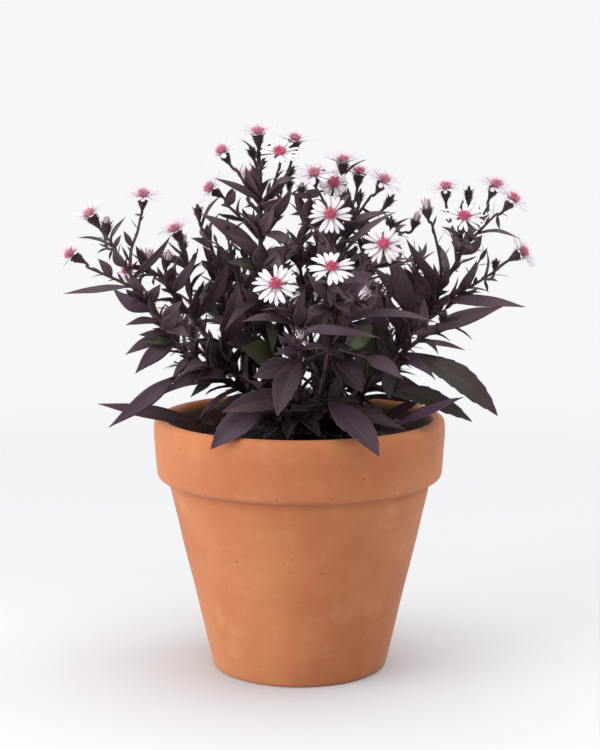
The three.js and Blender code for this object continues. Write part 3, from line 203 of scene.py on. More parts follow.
# Leaves of each stem: the root, the tip, the width, the direction of the upper face and the arch. A sixth
# value says how green a leaf is, and a seventh how much painted shade darkens it.
LEAVES = {
    "left_low": [
        ((-68, -16, 161), (-94, -24, 158), 3.4, (-0.1, -0.7, 0.7), 2),
        ((-60, -18, 150), (-74, -26, 161), 6.2, (-0.3, -1, -0.2), 2),
        ((-56, -19, 146), (-69, -28, 146), 4.4, (0, -0.7, 0.7), 1),
        ((-53, -19, 141), (-70, -20, 133), 4.6, (0, -0.9, 0.5), 1.5),
        ((-50, -19, 137), (-65, -31, 127), 6.4, (0.2, -1, 0.5), 2),
        ((-50, -22, 124.5), (-75, -40, 107), 6.4, (0.2, -1, 0.8), 4),
        ((-40, -12, 104), (-82, -18, 113), 5.8, (0, -0.9, 0.8), 2.5, 0, 0),
        ((-26, -11, 119), (-16, -44, 123), 8.2, (0.6, -0.6, 0.9), 3),
        ((-36, -15, 126), (-46, -36, 128), 6.6, (0.2, -0.6, 0.9), 4),
        ((-67, -15, 164), (-51, -17, 181), 3.6, (0.5, -0.8, -0.2), 1),
        ((-75, -14, 176), (-88, -22, 180), 2.4, (0, -0.5, 0.8), 1),
        ((-69, -14, 168), (-74, -18, 176), 4.2, (-0.3, -1, 0.2), 1),
        ((-55, -19, 146), (-46, -27, 156), 4.8, (0.2, -1, 0.2), 1),
    ],
    "left_inner": [
        ((-52, -6, 156), (-41, -15, 172), 4.6, (0.4, -1, 0), 2),
        ((-43, -2, 145), (-29, -10, 169), 7.2, (0.6, -0.9, -0.2), 2),
        ((-32, 3, 129), (-25, -12, 161), 9, (0.1, -1, -0.3), 2),
        ((-30, 4, 126), (-58, 2, 116), 4, (0, -0.7, 0.8), 3),
    ],
    "crown_left": [
        ((-16, 6, 194), (-22, 1, 208), 4.4, (-0.5, -1, -0.1), 1),
        ((-16, 6, 193), (-35, -2, 203), 3.2, (-0.3, -0.8, 0.5), 2),
        ((-16, 4, 169), (-40, -7, 189), 6.4, (-0.3, -1, 0.5), 2),
        ((-16, 5, 186), (-3, -5, 200), 5.2, (0.5, -1, -0.2), 2),
        ((-13, 4, 144), (-11, -18, 133), 5, (0, -0.6, 1), 4, 0.3, 0.9),
        ((-16, 4, 181), (0, -12, 175), 4.4, (0.2, -0.8, 0.7), 2),
        ((-15, 4, 154), (-30, -24, 143), 5, (-0.2, -0.7, 0.8), 3),
    ],
    "crown_right": [
        ((18, 10, 172), (39, -12, 190), 3.4, (-0.3, -0.8, 0.6), 3),
        ((16, 10, 148), (30, -16, 166), 6.4, (-0.3, -1, 0.1), 2),
    ],
    "front_low": [
        ((-15, -31, 114), (-34, -58, 102), 10.6, (0.1, -0.7, 1), 4),
        ((-1, -26, 116), (-30, -50, 115), 9, (-0.1, -1, 0.7), 6),
        ((0, -38, 133), (-8.5, -63, 115.5), 9.4, (-0.1, -1, 0.5), 4, 0, 0.5),
        ((-1, -41, 147), (-22, -58, 151), 5, (0, -0.7, 0.8), 2),
        ((0, -41, 145), (31, -60, 145), 5.6, (0, -0.7, 0.8), 4),
    ],
    "front": [
        ((12, -36, 117), (30, -67, 101), 12.8, (0.4, -1, 0.9), 4, 0, 0.3),
        ((11, -26, 112), (42, -40, 106), 7, (0.1, -0.8, 0.9), 3, 0.05, 0.7),
        ((26, -40, 135), (40, -55, 128), 7, (0.2, -0.9, 0.8), 2.5),
        ((14, -29, 147), (54, -38, 148), 5.2, (0, -0.7, 0.9), 3),
        ((25, -33, 169), (43, -51, 174), 3.2, (-0.2, -0.7, 0.8), 1),
        ((11, -22, 131), (24, -51, 123), 8.6, (0.3, -1, 0.6), 4, 0, 0.5),
        ((12, -24, 135), (30, -22, 148), 6.2, (-0.3, -1, 0.5), 2),
        ((13, -27, 145), (28, -36, 166), 6.6, (-0.4, -1, 0.3), 2),
    ],
    "right_low": [
        ((38, -30, 106), (64, -44, 120), 4.8, (-0.3, -0.9, 0.8), -1.5, 0, 0),
        ((41, -22, 134), (78, -36, 111), 10.4, (0.4, -1, 0.8), 6, 0.3, 0.4),
        ((28, -15, 118), (69, -27, 107), 8.2, (0.4, -1, 0.8), 8, 0.3, 0.5),
        ((38, -20, 131), (53, -40, 126), 5.8, (0.1, -0.8, 0.9), 3),
        ((52, -24, 143), (80, -32, 154), 5.8, (0.2, -1, 0.5), 2),
        ((47, -24, 139), (66, -29, 136), 2.6, (0.1, -0.8, 0.8), 2),
    ],
    "right_inner": [
        ((58, -6, 153), (91, -18, 152), 5.4, (0, -0.8, 0.7), 4),
        ((36, 0, 128), (32, -13, 163), 7, (-0.1, -1, -0.2), 2),
        ((48, -2, 142), (39, -13, 171), 7.8, (-0.2, -1, -0.2), 2),
        ((72, -6, 181), (88, -17, 179), 2.6, (0.1, -0.7, 0.8), 2),
        ((58, -4, 160), (42, -19, 180), 4.4, (-0.5, -0.9, -0.1), 2),
        ((64, -8, 157), (71, -15, 171), 4, (0.4, -1, -0.1), 1),
        ((65, -5, 172), (73, -14, 181), 4.8, (0.4, -1, -0.1), 1),
    ],
}

# Leaves, shoots and buds that the solids leave out
MORE_LEAVES = {
    "crown_right": [
        ((14, 7, 186), (2, -1, 187), 6, (0.2, -1, 0), 1.5, 0.35),
        ((17, 10, 163), (2, -4, 178), 5.5, (0.4, -1, 0), 2),
        ((16, 8, 184), (-1, 0, 184), 4, (0, -0.9, 0.5), 1.5, 0.1),
        ((14, 10, 135), (22, 16, 144), 5.7, (0.2, -1, 0.1), 2, 0.3),
        ((14, 10, 139), (7, 14, 146), 4.5, (-0.2, -1, 0.1), 2, 0.2),
        ((16, 10, 152), (9, 14, 160), 4.8, (-0.2, -1, 0.1), 2, 0.1),
        ((16, 10, 156), (24, 12, 164), 4.8, (0.2, -1, 0.1), 2),
        ((17, 10, 163), (10, 10, 171), 4.5, (-0.2, -1, 0.1), 2),
        ((18, 10, 167), (24, 8, 175), 4.3, (0.2, -1, 0.1), 2, 0.1),
        ((12, 5, 189), (-4, -3, 188), 3.6, (0.3, -1, 0.1), 1, 0.1),
        ((13, 6, 187), (4, -2, 185), 4.0, (0.3, -1, 0.1), 1, 0.1),
        ((18, 9, 181), (38, -1, 189), 3.4, (0, -0.9, 0.6), 3.5),
        ((27, 6, 171), (19, 2, 168), 3.4, (0, -0.9, 0.6), 1, 0.2),
        ((24, 7, 167), (28, 5, 174), 3.5, (-0.2, -1, 0.1), 1, 0.1),
        ((19, 9, 162), (24, 5, 168), 3.7, (0.1, -1, 0.2), 1, 0.4),
        ((9, 1, 196), (-5, -5, 197), 2.4, (-0.3, -1, 0.1), 1),
        ((9, 1, 196), (2, -5, 198), 3.2, (0.3, -1, 0.1), 0.5),
        ((20, 9, 164), (22, 5, 174), 4.6, (0.2, -1, 0.1), 1, 0.1),
        ((17, 10, 163), (6, 6, 174), 5, (0.2, -1, 0.1), 1, 0.2),
        ((27, 6, 171), (36, -3, 178), 5, (-0.2, -1, 0.1), 1, 0.1),
        ((24, 7, 163), (33, -1, 169), 5, (-0.2, -1, 0.2), 1, 0.1),
    ],
    "crown_left": [
        ((-15, 4, 163), (-3, -6, 178), 6.5, (-0.2, -1, 0), 2, 0.1),
        ((-16, 4, 166), (-7, -4, 174), 5, (0.2, -1, 0.4), 2, 0.6),
        ((-16, 4, 170), (-1, -2, 173), 4, (0.3, -0.8, 0.6), 1.5, 0.2),
        ((-16, 4, 170), (-30, -6, 181), 4.6, (-0.2, -0.9, 0.5), 2),
        ((-13, 4, 146), (-24, -2, 159), 3.6, (0.3, -1, 0.3), 1.5, 0.1),
        ((-12, 4, 139), (-29, -10, 136), 2.8, (0, -0.5, 1), 2),
        ((-16, 4, 166), (-30, -4, 169), 5, (0, -0.9, 0.6), 2, 0.7),
        ((-6, 3, 122), (-23, -20, 136), 12.5, (0.1, -1, 0.5), 3, 1.0, 0.4),
        ((-8, 4, 126), (-30, -6, 136), 8.6, (0.1, -1, 0.6), 4),
        ((-12, 4, 139), (-12, 0, 145), 3.0, (0.2, -1, 0.1), 2, 0.1),
        ((-12, 4, 139), (-22, 2, 150), 6.3, (-0.2, -1, 0.2), 2, 0.2),
        ((-14, 4, 149), (-8, 0, 156), 4.2, (0.2, -1, 0.1), 2, 0.1),
        ((-15, 4, 156), (-24, 0, 164), 5.3, (-0.2, -1, 0.2), 2, 0.1),
        ((-15, 4, 160), (-9, 0, 166), 3.9, (0.3, -1, 0.1), 2),
        ((-6, 3, 122), (-20, 1, 128), 6.5, (0, -1, 0.2), 2, 0.5),
        ((-16, 6, 190), (-7, -2, 195), 5.4, (0.4, -1, 0), 1.5),
        ((-16, 4, 180), (-10, -4, 191), 5.2, (-0.3, -1, 0), 1.5),
        ((-20, 6, 182), (-17, 0, 189), 4.1, (0.3, -1, 0), 1.5),
        ((-16, 4, 180), (0, -8, 172), 5.2, (0.1, -0.8, 0.7), 3),
        ((-16, 4, 166), (-6, -4, 172), 5.9, (0.1, -1, 0.4), 1.5, 0.8),
        ((-16, 4, 166), (-1, -8, 173), 6.6, (0.2, -1, 0.3), 2),
        ((-15, 4, 163), (-17, -2, 172), 3.2, (0.1, -1, 0.1), 1, 0.1),
        ((-16, 4, 166), (-34, -5, 185), 5.4, (0.3, -1, 0.3), 1.5),
        ((-13, 4, 146), (-24, -4, 159), 5.2, (0.5, -1, 0.1), 2),
        ((-13, 4, 146), (-4, -4, 152), 5.6, (0.1, -1, 0.3), 1.5, 0.1),
        ((-14, 4, 153), (-9, -4, 149), 4.3, (0.1, -1, 0.5), 1.5, 0.1),
        ((-15, 6, 193), (-4, 2, 206), 3.4, (0.4, -1, 0), 1.5),
        ((-11, 3, 200), (-1, -1, 203), 2.6, (0.2, -1, 0.1), 1),
        ((-29, 6, 191), (-26, 2, 198), 3.2, (0.3, -1, 0.1), 1),
        ((-15, 4, 156), (-3, -4, 170), 4.6, (0.2, -1, 0.1), 1, 0.1),
        ((-16, 4, 166), (-5, -2, 175), 4.6, (0.3, -1, 0.1), 1, 0.1),
        ((-16, 4, 170), (0, -2, 176), 4.6, (0.2, -1, 0.2), 1),
        ((-15, 4, 156), (-8, 6, 169), 6, (0.1, -1, 0.1), 1, 0.2, 0.9),
    ],
    "front": [
        ((13, -34, 154), (27, -43, 165), 7.8, (-0.3, -1, 0.4), 2),
        ((13, -36, 156), (14, -42, 163), 3.9, (-0.3, -1, 0.3), 2),
        ((13, -36, 156), (3, -40, 168), 3.8, (0.3, -1, 0), 1.5, 0.2),
        ((13, -38, 157), (5, -34, 167), 3.4, (-0.4, -1, 0), 1.5),
        ((22, -46, 154), (30, -54, 164), 6, (0.3, -1, 0), 2),
        ((18, -31, 135.5), (28.5, -36, 147), 8, (-0.4, -1, 0.3), 1, 1.0, 0),
        ((12, -24, 136), (25, -34, 120), 8.6, (0.3, -1, 0.3), 3, 0.1),
        ((13, -26, 143), (0, -32, 152), 6, (0, -1, 0.3), 2),
        ((12, -24, 137), (18, -32, 132), 4.7, (0.2, -1, 0.4), 2, 0.1),
        ((13, -38, 157), (20, -46, 151), 5.1, (0.2, -1, 0.4), 2),
        ((13, -31, 152), (-1, -41, 149), 5, (0, -0.8, 0.8), 3),
        ((13, -31, 170), (7, -39, 180), 5.2, (-0.4, -1, 0.1), 2),
        ((13, -34, 154), (28, -44, 168), 9, (-0.3, -1, 0.3), 2),
        ((20, -31, 163), (26, -35, 171), 4.5, (-0.2, -1, 0.1), 1, 0.1),
        ((24, -33, 168), (43, -39, 172), 3.4, (0, -0.8, 0.8), 2),
        ((11, -21, 129), (29, -19, 143), 9, (0.2, -1, 0.1), 2, 0.4, 0.9),
        ((11, -21, 129), (9, -19, 143), 6, (0.1, -1, 0.1), 1, 0.2, 0.9),
        ((13, -38, 157), (6, -36, 169), 5, (0.1, -1, 0.1), 1, 0.1, 0.9),
    ],
    "front_low": [
        ((-2, -43, 151), (-6, -48, 159), 3.4, (0, -0.7, 0.8), 1.5),
        ((0, -37, 132), (-18, -47, 128), 7.6, (0.2, -1, 0.4), 2.5, 0.1),
        ((-1, -28, 117), (-14, -38, 118), 6.9, (0, -0.8, 0.8), 2, 0.1),
        ((-2, -43, 151), (2, -49, 163), 3.8, (0.2, -1, 0.2), 1.5),
        ((-2, -42, 147), (0, -48, 159), 5.6, (0.3, -1, 0.1), 1.5, 0.3),
        ((0, -47, 139), (-10, -56, 138), 4.2, (0, -0.7, 0.8), 1.5),
        ((0, -47, 139), (11, -56, 140), 4.4, (0, -0.7, 0.8), 1.5),
    ],
    "right_inner": [
        ((45, -2, 138), (35, -6, 157), 5.5, (-0.3, -1, 0), 2, 0.1),
        ((56, -4, 156), (54, -8, 169), 3.4, (0.4, -1, 0), 1),
        ((33, 0, 125), (35, 0, 138), 5.5, (0, -1, 0.4), 2, 0.2),
        ((38, -1, 130), (27, -1, 148), 6.5, (0.2, -1, 0.1), 2, 0.1),
        ((42, -1, 136), (44, -5, 144), 3.8, (0, -0.9, 0.6), 2, 0.1),
        ((47, -2, 141), (49, -6, 153), 4.6, (0.2, -1, 0.2), 2, 0.1),
        ((26, 0, 118), (30, -4, 127), 4.5, (0, -0.9, 0.5), 2, 0.3),
        ((49, -2, 144), (35, -4, 165), 6, (0.2, -1, 0.1), 1, 0.1),
        ((52, -3, 148), (45, -5, 163), 4.6, (0.2, -1, 0.1), 1, 0.1),
        ((49, -2, 144), (43, -6, 154), 5.2, (-0.3, -1, 0.1), 1, 0.1),
        ((55, -3, 153), (48, -7, 161), 4, (-0.3, -1, 0.1), 1),
        ((57, -4, 158), (60, -8, 166), 3.6, (0.3, -1, 0.1), 1),
        ((50, -2, 146), (29, -8, 168), 6, (-0.2, -1, 0.1), 1.5, 0.1),
        ((52, -3, 148), (35, -9, 169), 5.4, (0.2, -1, 0.1), 1.5),
        ((53, -3, 149), (42, -9, 168), 5.6, (0.2, -1, 0.1), 1.5, 0.1),
        ((55, -3, 153), (46, -9, 168), 5, (-0.3, -1, 0.1), 1),
        ((55, -3, 153), (50, -8, 170), 3.6, (-0.2, -1, 0.1), 1, 0, 0.5),
        ((35, 0, 128), (23, 2, 140), 7, (0.1, -1, 0.1), 1, 0.4, 0.9),
    ],
    "left_inner": [
        ((-36, 10, 172), (-45, 6, 178), 3.4, (0, -0.8, 0.6), 1.5),
        ((-46, 2, 165), (-59, -2, 171), 4.2, (0, -0.7, 0.8), 2),
        ((-27, 12, 145), (-36, 8, 151), 4.8, (0.2, -1, 0.1), 1.5, 0.45),
        ((-32, 3, 128), (-42, -1, 137), 5.9, (0, -1, 0.5), 2, 0.5),
        ((-28, 4, 123), (-42, -8, 121), 7.4, (0.1, -1, 0.5), 3),
        ((-30, 3, 126), (-24, -7, 135), 4.2, (0.4, -1, 0), 1, 0.1),
        ((-34, 2, 131), (-37, -2, 132), 2.1, (0, -1, 0.2), 1, 0.2),
        ((-26, 11, 141), (-15, 5, 152), 6, (0.2, -1, 0.1), 2, 0.2),
        ((-32, 11, 159), (-26, 7, 175), 4.4, (0.4, -1, 0), 1, 0.1),
        ((-33, 11, 162), (-29, 7, 174), 4.0, (-0.4, -1, 0), 1, 0.2),
        ((-34, 11, 165), (-22, 5, 159), 5.2, (0.2, -1, 0.4), 1.5, 0.5),
        ((-37, 10, 177), (-38, 6, 184), 3.2, (-0.3, -1, 0.1), 1),
        ((-31, 12, 156), (-36, 6, 171), 6.2, (0.2, -1, 0.1), 1.5, 0.2),
        ((-32, 11, 159), (-31, 5, 173), 5.2, (-0.2, -1, 0.1), 1),
        ((-32, 11, 159), (-39, 5, 168), 4.6, (0.2, -1, 0.1), 1, 0.1),
        ((-24, 11, 135), (-31, -3, 135), 4, (0.1, -0.8, 0.8), 2, 0, 0),
        ((-28, 4, 123), (-24, -4, 135), 3.6, (-0.6, -1, 0.2), 1, 0.2),
        ((-32, 11, 159), (-34, 5, 175), 5.4, (0.2, -1, 0.1), 1.5, 0.1),
        ((-33, 11, 162), (-26, 5, 172), 5, (0.2, -1, 0.1), 1, 0.1),
        ((-34, 11, 165), (-40, 5, 175), 4.6, (0.3, -1, 0.2), 1),
    ],
    "left_low": [
        ((-54, -19, 144), (-47, -26, 152), 5.3, (0.2, -1, 0.2), 2, 0.1),
        ((-54, -19, 144), (-43, -28, 141), 6.1, (0.2, -0.8, 0.7), 2, 0.1),
        ((-25, -10, 118), (-41, -16, 106), 3.2, (0, -0.35, 1), 1.5),
        ((-49, -18, 138), (-63, -26, 139), 3.8, (0, -0.9, 0.6), 2, 0.75),
        ((-50, -18, 140), (-59, -22, 142), 4, (0, -1, 0.2), 1, 0.5),
        ((-43, -17, 131), (-51, -25, 124), 3.2, (0.2, -0.8, 0.7), 3, 0.2),
        ((-27, -11, 120), (-56, -25, 117), 7, (0.1, -0.8, 0.8), 7, 0.15),
        ((-34, -14, 124), (-44, -22, 116), 4, (0, -0.8, 0.8), 2, 0.4),
        ((-72, -14, 176), (-71, -16, 181), 1.9, (0, -1, 0), 0.5),
        ((-75, -14, 181), (-69, -16, 188), 1.7, (-0.3, -1, 0.3), 1.5),
        ((-67, -6, 175), (-71, -8, 182), 2.4, (0, -1, 0), 0.5),
        ((-75, -19, 164), (-80, -22, 172), 3.6, (0.3, -1, 0), 0.8),
        ((-62, -17, 155), (-69, -23, 160), 4.4, (-0.2, -1, 0.1), 1),
        ((-61, -18, 153), (-55, -22, 162), 4.4, (0.3, -1, 0.1), 1, 0.1),
        ((-63, -17, 156), (-66, -21, 165), 3.8, (-0.2, -1, 0.1), 1),
        ((-50, -18, 140), (-64, -26, 142), 4.2, (0.1, -1, 0.3), 1.5, 0.1),
        ((-29, -12, 121), (-42, -28, 123), 7, (0.1, -0.7, 1), 3, 0, 0),
    ],
    "right_low": [
        ((28, -12, 102), (44, -22, 102), 6.8, (0.2, -0.8, 0.8), 2.5, 0.35),
        ((47, -24, 139), (55, -29, 134), 2.8, (0.2, -0.8, 0.8), 3, 0.1),
        ((27, -15, 118), (56, -18, 111), 4.4, (0.1, -0.6, 1), 3, 0.2),
        ((32, -14, 103), (50, -20, 115), 5.2, (0, -0.7, 1), 1.5, 0.1),
        ((32, -17, 123), (48, -23, 121), 5.2, (0, -0.9, 0.7), 1.5, 0.1),
        ((36, -19, 128), (36, -25, 115), 5.6, (0.2, -1, 0.3), 1.5, 0.2),
        ((24, -14, 115), (49, -18, 112), 2.8, (0, -0.8, 0.8), 1, 0.3),
        ((32, -17, 123), (26, -15, 145), 8, (-0.2, -1, 0.1), 2, 0.3, 0.9),
        ((37, -20, 130), (32, -18, 147), 7, (-0.2, -1, 0.1), 2, 0.2, 0.9),
    ],
    "back_right": [
        ((14, 47, 173), (2, 33, 163), 6.4, (-0.3, -1, 0.1), 1),
        ((6, 59, 142), (1, 53, 158), 5, (-0.2, -1, 0.1), 1.5, 0.1),
        ((10, 48, 138), (12, 40, 151), 5.2, (-0.2, -1, 0.1), 1.5),
        ((15, 46, 168), (20, 42, 175), 4.0, (0.2, -1, 0.1), 1, 0.1),
    ],
}

MORE_SHOOTS = {
    "left_low": [
        Shoot([(-42, -17, 131), (-46, -20, 128), (-50, -22, 124.5)], (0.6, 0.5)),
        Shoot([(-9, -5, 99), (-26, -9, 101), (-40, -12, 104)], (0.7, 0.5)),
    ],
    "right_low": [
        Shoot([(33, -14, 103), (36, -23, 104), (38, -30, 106)], (0.7, 0.5)),
    ],
    "left_inner": [
        Shoot([(-22, 10, 128), (-27, 6, 142), (-31, 2, 154), (-33, 0, 166)], (0.9, 0.5), (22, 10, 12)),
    ],
    "front": [
        Shoot([(12, -24, 137), (19, -33, 136), (26, -40, 135)], (0.6, 0.5)),
        Shoot([(13, -26, 143), (22, -24, 156), (27, -22, 168), (30, -20, 178)], (0.8, 0.5), (18, 9, 12)),
    ],
    "crown_right": [
        Shoot([(10, 9, 115), (5, 8, 135), (2, 4, 155), (0, 2, 170), (2, 2, 184)], (1.2, 0.5), (24, 8, 12)),
        Shoot([(14, 10, 135), (24, 14, 150), (28, 16, 166), (27, 18, 178)], (1, 0.5), (20, 8, 12)),
        Shoot([(17, 10, 160), (14, 4, 172), (16, 2, 184), (17, 0, 191)], (0.8, 0.5), (18, 8, 12)),
        Shoot([(2, 4, 155), (6, 0, 166), (7, -4, 176), (8, -6, 184)], (0.8, 0.5), (20, 9, 12)),
    ],
    "crown_left": [
        Shoot([(-4, 3, 115), (-2, -2, 132), (-6, -6, 148), (-7, -8, 163),
               (-5, -10, 176)], (1.1, 0.5), (26, 12, 12)),
        Shoot([(-12, 4, 140), (-22, 2, 154), (-27, 0, 167), (-29, -2, 178)], (0.9, 0.5), (18, 8, 12)),
        Shoot([(-16, 4, 177), (-9, 6, 186), (-5, 8, 196)], (0.6, 0.4), (12, 7, 12)),
    ],
    "right_inner": [
        Shoot([(33, 0, 125), (34, 4, 142), (37, 6, 157), (41, 6, 170)], (1, 0.5), (20, 8, 12)),
        Shoot([(47, -2, 141), (46, -6, 153), (47, -8, 163), (46, -8, 172)], (0.8, 0.5), (20, 10, 12)),
    ],
}

MORE_BUDS = [
    ("right_inner", (80, -2, 169), (0.1, -0.2, 1), 4.6, 0.2, (74, -9, 163)),
    ("crown_right", (2, 2, 189), (0.05, -0.2, 1), 5, 0.25, (2, 2, 184)),
    ("crown_right", (27, 18, 183), (0, -0.2, 1), 5, 0.25, (27, 18, 178)),
    ("crown_left", (-29, -2, 183), (-0.1, -0.2, 1), 5, 0.25, (-29, -2, 178)),
    ("crown_left", (-4, 8, 201), (0.1, -0.2, 1), 4.8, 0.25, (-5, 8, 196)),
]

# Places where the small leaves are left out, each with its reach
BARE = [
    ((-47, 8, 187), 15), ((86, -3, 174), 9), ((71, 4, 168), 10), ((-44, -20, 104), 6), ((0, -55, 143), 13),
]

# Sizes shared with the solids; the lengths are in millimetres
POT_HEIGHT = 105.3
RIM_RADIUS = 60.2
RIM_BAND = 25.1
BAND_FOOT_RADIUS = 58.9
BODY_TOP_RADIUS = 54.7
POT_FOOT_RADIUS = 36.3
WALL_SLOPE = 0.2228
INNER_RIM_RADIUS = 55.2
POT_FLOOR = 7.5
DRAIN_RADIUS = 6.5
LIP_ROUNDING = 2
GROOVE_DROP = 4.4
SOIL_TOP = 93.5
SOIL_FOOT = 60
CRUST_RADIUS = 52.5
STEM_FOOT = 82
STALK_RADIUS = 0.6
CUP_HEIGHT = 5.2
HEAD_SPAN = 16.6

# How shoots and stalks run
CURVE_STEPS = 6
STALK_STEPS = 3
SAME_PLACE = 2.5  # a stalk that starts nearer than this to a shoot's end goes on from it
TWIG_SPACING = 17

# The rule of the leaves that wind up a shoot
LEAF_TURN = math.radians(137.5)
NEXT_TRY = math.radians(50)
TRIES = 5  # turns that a leaf tries before it is left out
SAG = 0.012  # how far a leaf's tip hangs, by the square of its length
SLENDER = 0.17  # least width as a share of the length
LEAST_WIDTH = 1.5
SAME_TIP = 0.00015  # metres; a leaf whose tip lies nearer to a corner of the solid is there
ABOUT_ROUND = 6.28  # radians, close to a full turn

# Leaves and bracts of other kinds
BROAD_LEAF = 7  # leaves wider than this have toothed edges
RIPPLES = 13  # how fast the waves of an edge follow each other
MOUTH_LEAVES = 12
MOUTH_HEIGHT = 113
LONG_BRACT = 5
INNER_REACH = 30  # leaves nearer to the pot's axis than this may stay green

# The painted shade that darkens the leaves in the low middle of the plant
SHADE_MIDDLE = (2, -14, 112)
SHADE_REACH = (60, 56, 42)
SHADE_EDGE = 1.35
OPEN_SHADE = 0.4  # share of the shade that the large leaves take

# Open heads and buds
FIRST_BUD = 60  # number of the first bud; the open heads count from 0
FACES_FRONT = -0.6  # heads whose direction has less of Y than this face the front
SIDE_RAY_WIDTH = 1.05
SIDE_DISC = 0.62
PALE_DISC = 0.3
OPEN_TUFT = 0.28  # buds with more of a tuft than this show folded rays
TUFT_RAYS = 13
GOLDEN_ANGLE = math.radians(137.508)

# Seeds of the repeatable draws
FILLING_SEED = 500
TWIG_SEED = 700
BRACT_SEED = 900
MOUTH_SEED = 1300
SCALE_SEED = 2000
TUFT_SEED = 3000
RAY_SEED = 4000
STRETCH_SEED = 6
TURN_SEED = 5

CLOSE_GAP = 0.00001  # metres; corners nearer than this become one
FLOOR_SIDES = 128
CAMERA_SHIFT = 0.4 / 750

# Rows of scales on a cup: the share of its depth where they stand, and how many there are
SCALE_ROWS = [(0.93, 5), (0.78, 7), (0.6, 8), (0.42, 9), (0.24, 9)]
TOP_ROWS = [(0.12, 8), (-0.06, 6)]

# How pink the rays of some heads are, by the head's number
PINK_HEADS = {12: 0.2, 13: 0.3, 14: 0.2, 18: 0.25, 24: 0.3}

# Colours of small marks
PIT = (0.16, 0.055, 0.025)
# painted shade on the inner wall
INNER_WALL_SHADE = (0.055, 0.02, 0.01)
# painted shade under the ledge at the foot of the rim band
LEDGE_SHADE = (0.2, 0.05, 0.018)
DEEP_SOIL = (0.008, 0.005, 0.004)
FIBRE = (0.075, 0.045, 0.028)
BARK_PATCH = (0.05, 0.031, 0.031)
BARK_STREAK = (0.11, 0.06, 0.07)
# painted shade that darkens the leaves deep in the plant
LEAF_SHADE = (0.009, 0.0072, 0.0042)
LEAF_TIP = (0.13, 0.03, 0.065)
LEAF_SPECK = (0.006, 0.004, 0.005)
SCALE_TIP = (0.034, 0.015, 0.025)
SCALE_EDGE = (0.16, 0.11, 0.07)
SCALE_SPECK = (0.05, 0.035, 0.025)
# painted shade that greys some rays
PAINTED_RAY_SHADE = (0.58, 0.55, 0.585)
RAY_VEIN = (0.62, 0.58, 0.68)
RAY_FOOT = (0.72, 0.66, 0.5)
FLORET_FOOT = (0.74, 0.48, 0.5)
FLORET_STYLE = (0.75, 0.3, 0.36)
FLORET_SPECK = (0.3, 0.02, 0.06)
PALE_FLORET = (0.72, 0.58, 0.62)

# Places in metres between which a colour changes
INNER_SHADE_EDGE = (-0.0022, 0.0005)  # measured inwards from the inner wall
RIM_FADE = (0.101, 0.1045)
# heights of the painted shade under the rim band
LEDGE_SHADE_START = (0.0755, 0.079)
LEDGE_SHADE_END = (0.0795, 0.0808)
# heights over which the painted light on the high leaves comes in
SUNLIT_HEIGHTS = (0.135, 0.172)
FLOOR_FRONT_TO_BACK = (0.02, 0.16)

# The painted shade in the finish of leaves: its height in metres, and one over its reach along each axis
SHADE_HEIGHT = 0.118
SHADE_SCALE = (22.0, 24.0, 25.0)


# Repeatable numbers and the frame of a head

def draw(seed, index):
    """A repeatable draw between 0 and 1 for a seed and an index."""
    x = (seed * 7919 + index * 104729 + 12345) % 2147483647
    for _ in range(3):
        x = x * 16807 % 2147483647
    return x / 2147483647


def lerp(a, b, share):
    return a + (b - a) * share


def arc(a, b, c, t):
    """A point of the curve that leaves a towards b and ends in c."""
    return a * (1 - t) ** 2 + b * 2 * t * (1 - t) + c * t * t


def across(axis):
    """Two directions square to an axis."""
    reference = Vector((0, 0, 1)) if abs(axis.z) < 0.9 else Vector((1, 0, 0))
    u = reference.cross(axis).normalized()
    return u, axis.cross(u)


def outwards(axis, turn):
    """The direction square to an axis at a turn round it."""
    u, v = across(axis)
    return u * math.cos(turn) + v * math.sin(turn)


def on_circle(radius, share, z=0):
    """A place on a circle round the Z axis, at a share of the way round."""
    turn = share * 2 * math.pi
    return radius * math.cos(turn), radius * math.sin(turn), z


def search_tree(points):
    """Points by number, for finding the nearest."""
    tree = KDTree(len(points))
    for k, point in enumerate(points):
        tree.insert(point, k)
    tree.balance()
    return tree


class Line:
    """A shoot's own line, in straight runs from point to point."""

    def __init__(self, path):
        self.points = [Vector(p) for p in path]
        self.runs = [(b - a).length for a, b in zip(self.points, self.points[1:])]
        self.length = sum(self.runs)

    def at(self, share):
        """The point and the direction at a share of the length."""
        left = share * self.length
        for a, b, run in zip(self.points, self.points[1:], self.runs):
            if left <= run:
                return a.lerp(b, left / run), (b - a).normalized()
            left -= run
        return self.points[-1].copy(), (self.points[-1] - self.points[-2]).normalized()


class Head:
    """An open head or a bud: where it sits, where it looks, and its stalk."""

    def __init__(self, number, stem, at, faces, start, lift=0, span=HEAD_SPAN, size=0, tuft=0):
        self.number = number
        self.stem = stem
        self.centre = Vector(at)
        self.axis = Vector(faces).normalized()
        self.front = self.axis.y < FACES_FRONT
        self.start = Vector(start)
        self.lift = math.tan(math.radians(lift))
        self.span = span
        self.size = size
        self.tuft = tuft
        self.depth = size * (1 - tuft) if size else CUP_HEIGHT
        self.u, self.v = across(self.axis)

    def out(self, turn):
        """The direction away from the axis at a turn round it."""
        return self.u * math.cos(turn) + self.v * math.sin(turn)

    def point(self, height, turn=0, radius=0):
        """The point at a height over the plane of the rays, a turn round the axis and a distance from it."""
        return self.centre + self.axis * height + self.out(turn) * radius

    def stalk(self, start):
        """Points of the stalk, from the shoot to the foot of the cup, which it enters along the axis."""
        end = self.point(-self.depth - 0.5)
        bend = end - self.axis * 0.5 * (end - start).length
        return [arc(start, bend, end, k / STALK_STEPS) for k in range(STALK_STEPS + 1)]


